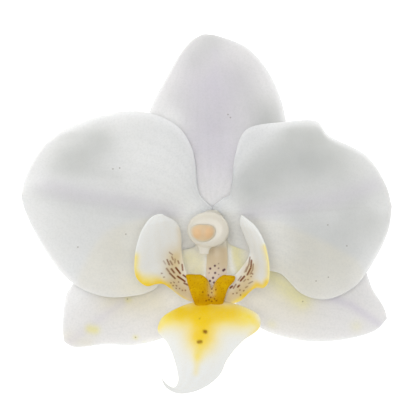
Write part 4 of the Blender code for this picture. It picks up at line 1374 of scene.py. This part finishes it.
class ORCHID_OT_build_stage(bpy.types.Operator):
    """Lay the pale floor and set the soft light and the camera straight above the flower's face"""

    bl_idname = "orchid.build_stage"
    bl_label = "Build Stage"

    def execute(self, context):
        settings = context.scene.orchid_stage
        scene = context.scene
        middle = (CAD_LOW + CAD_HIGH) / 2
        self.lay_floor(settings)
        self.light(settings, scene, middle)

        camera_data = bpy.data.cameras.new("camera")
        camera = bpy.data.objects.new("camera", camera_data)
        scene.collection.objects.link(camera)
        petal_low, petal_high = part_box("petal_left")
        distance = settings.camera_height - (petal_low.z + petal_high.z) / 2
        camera_data.lens = camera_data.sensor_width * distance / settings.view_width
        camera.location = Vector((middle.x, middle.y, settings.camera_height)) + CAMERA_ASIDE
        camera_data.clip_start = 0.01
        camera_data.clip_end = 10.0
        scene.camera = camera
        scene.view_settings.view_transform = "Standard"
        scene.view_settings.look = "None"
        scene.view_settings.exposure = 0.0
        scene.view_settings.gamma = 1.0
        return {"FINISHED"}

    def lay_floor(self, settings):
        half = settings.floor_size / 2
        profile = [(half * share, half * rise) for share, rise in FLOOR_PROFILE]
        turns = [2 * math.pi * k / FLOOR_SIDES for k in range(FLOOR_SIDES)]
        points = [(r * math.cos(turn), r * math.sin(turn), z) for r, z in profile for turn in turns]
        faces = [tuple(range(FLOOR_SIDES))]
        for ring in range(len(profile) - 1):
            start = ring * FLOOR_SIDES
            for k in range(FLOOR_SIDES):
                beside = (k + 1) % FLOOR_SIDES
                outer = start + FLOOR_SIDES
                faces.append((start + beside, start + k, outer + k, outer + beside))
        mesh = bpy.data.meshes.new("floor")
        mesh.from_pydata(points, [], faces)
        mesh.shade_smooth()
        finish = Finish("floor", specular=0.0)
        finish.shader.inputs["Emission Color"].default_value = (1.0, 1.0, 1.0, 1.0)
        finish.shader.inputs["Emission Strength"].default_value = settings.floor_glow
        finish.feed(finish.shader.inputs["Base Color"], settings.floor_colour)
        finish.shader.inputs["Roughness"].default_value = 1.0
        mesh.materials.append(finish.material)
        floor = bpy.data.objects.new("floor", mesh)
        bpy.context.scene.collection.objects.link(floor)

    def light(self, settings, scene, middle):
        world = bpy.data.worlds.new("soft box")
        world.use_nodes = True
        sky = world.node_tree.nodes["Background"]
        sky.inputs["Color"].default_value = (1.0, 1.0, 1.0, 1.0)
        sky.inputs["Strength"].default_value = settings.sky
        scene.world = world
        lamps = (
            ("front light", settings.front, *FRONT_LIGHT),
            ("side light", settings.side, *SIDE_LIGHT),
        )
        for name, power, size, place in lamps:
            lamp_data = bpy.data.lights.new(name, "AREA")
            lamp_data.energy = power
            lamp_data.size = size
            lamp = bpy.data.objects.new(name, lamp_data)
            lamp.location = middle + Vector(place)
            lamp.rotation_mode = "QUATERNION"
            lamp.rotation_quaternion = (middle - lamp.location).to_track_quat("-Z", "Y")
            scene.collection.objects.link(lamp)


# ---------------------------------------------------------------- add-on

SETTINGS = {
    "orchid_tepals": TepalSettings,
    "orchid_lip": LipSettings,
    "orchid_column": ColumnSettings,
    "orchid_stalk": StalkSettings,
    "orchid_stage": StageSettings,
}
OPERATORS = (
    ORCHID_OT_build_sepals,
    ORCHID_OT_build_petals,
    ORCHID_OT_build_lip,
    ORCHID_OT_build_column,
    ORCHID_OT_build_anther_cap,
    ORCHID_OT_build_stalk,
    ORCHID_OT_build_stage,
)


class ORCHID_PT_sidebar(bpy.types.Panel):
    """Sizes and colours of the flower, and the steps that build it"""

    bl_idname = "ORCHID_PT_sidebar"
    bl_label = "Moth Orchid Bloom"
    bl_space_type = "VIEW_3D"
    bl_region_type = "UI"
    bl_category = "Orchid"

    def draw(self, context):
        for name, group in SETTINGS.items():
            box = self.layout.box()
            box.label(text=group.__doc__)
            for setting in group.__annotations__:
                box.prop(getattr(context.scene, name), setting)
        for operator in OPERATORS:
            self.layout.operator(operator.bl_idname)


CLASSES = (*SETTINGS.values(), *OPERATORS, ORCHID_PT_sidebar)


def register():
    for made in CLASSES:
        bpy.utils.register_class(made)
    for name, group in SETTINGS.items():
        setattr(bpy.types.Scene, name, PointerProperty(type=group))


def unregister():
    for name in SETTINGS:
        delattr(bpy.types.Scene, name)
    for made in reversed(CLASSES):
        bpy.utils.unregister_class(made)


def main():
    register()
    bpy.ops.orchid.build_sepals()
    bpy.ops.orchid.build_petals()
    bpy.ops.orchid.build_lip()
    bpy.ops.orchid.build_column()
    bpy.ops.orchid.build_anther_cap()
    bpy.ops.orchid.build_stalk()
    bpy.ops.orchid.build_stage()


if __name__ == "__main__":
    main()
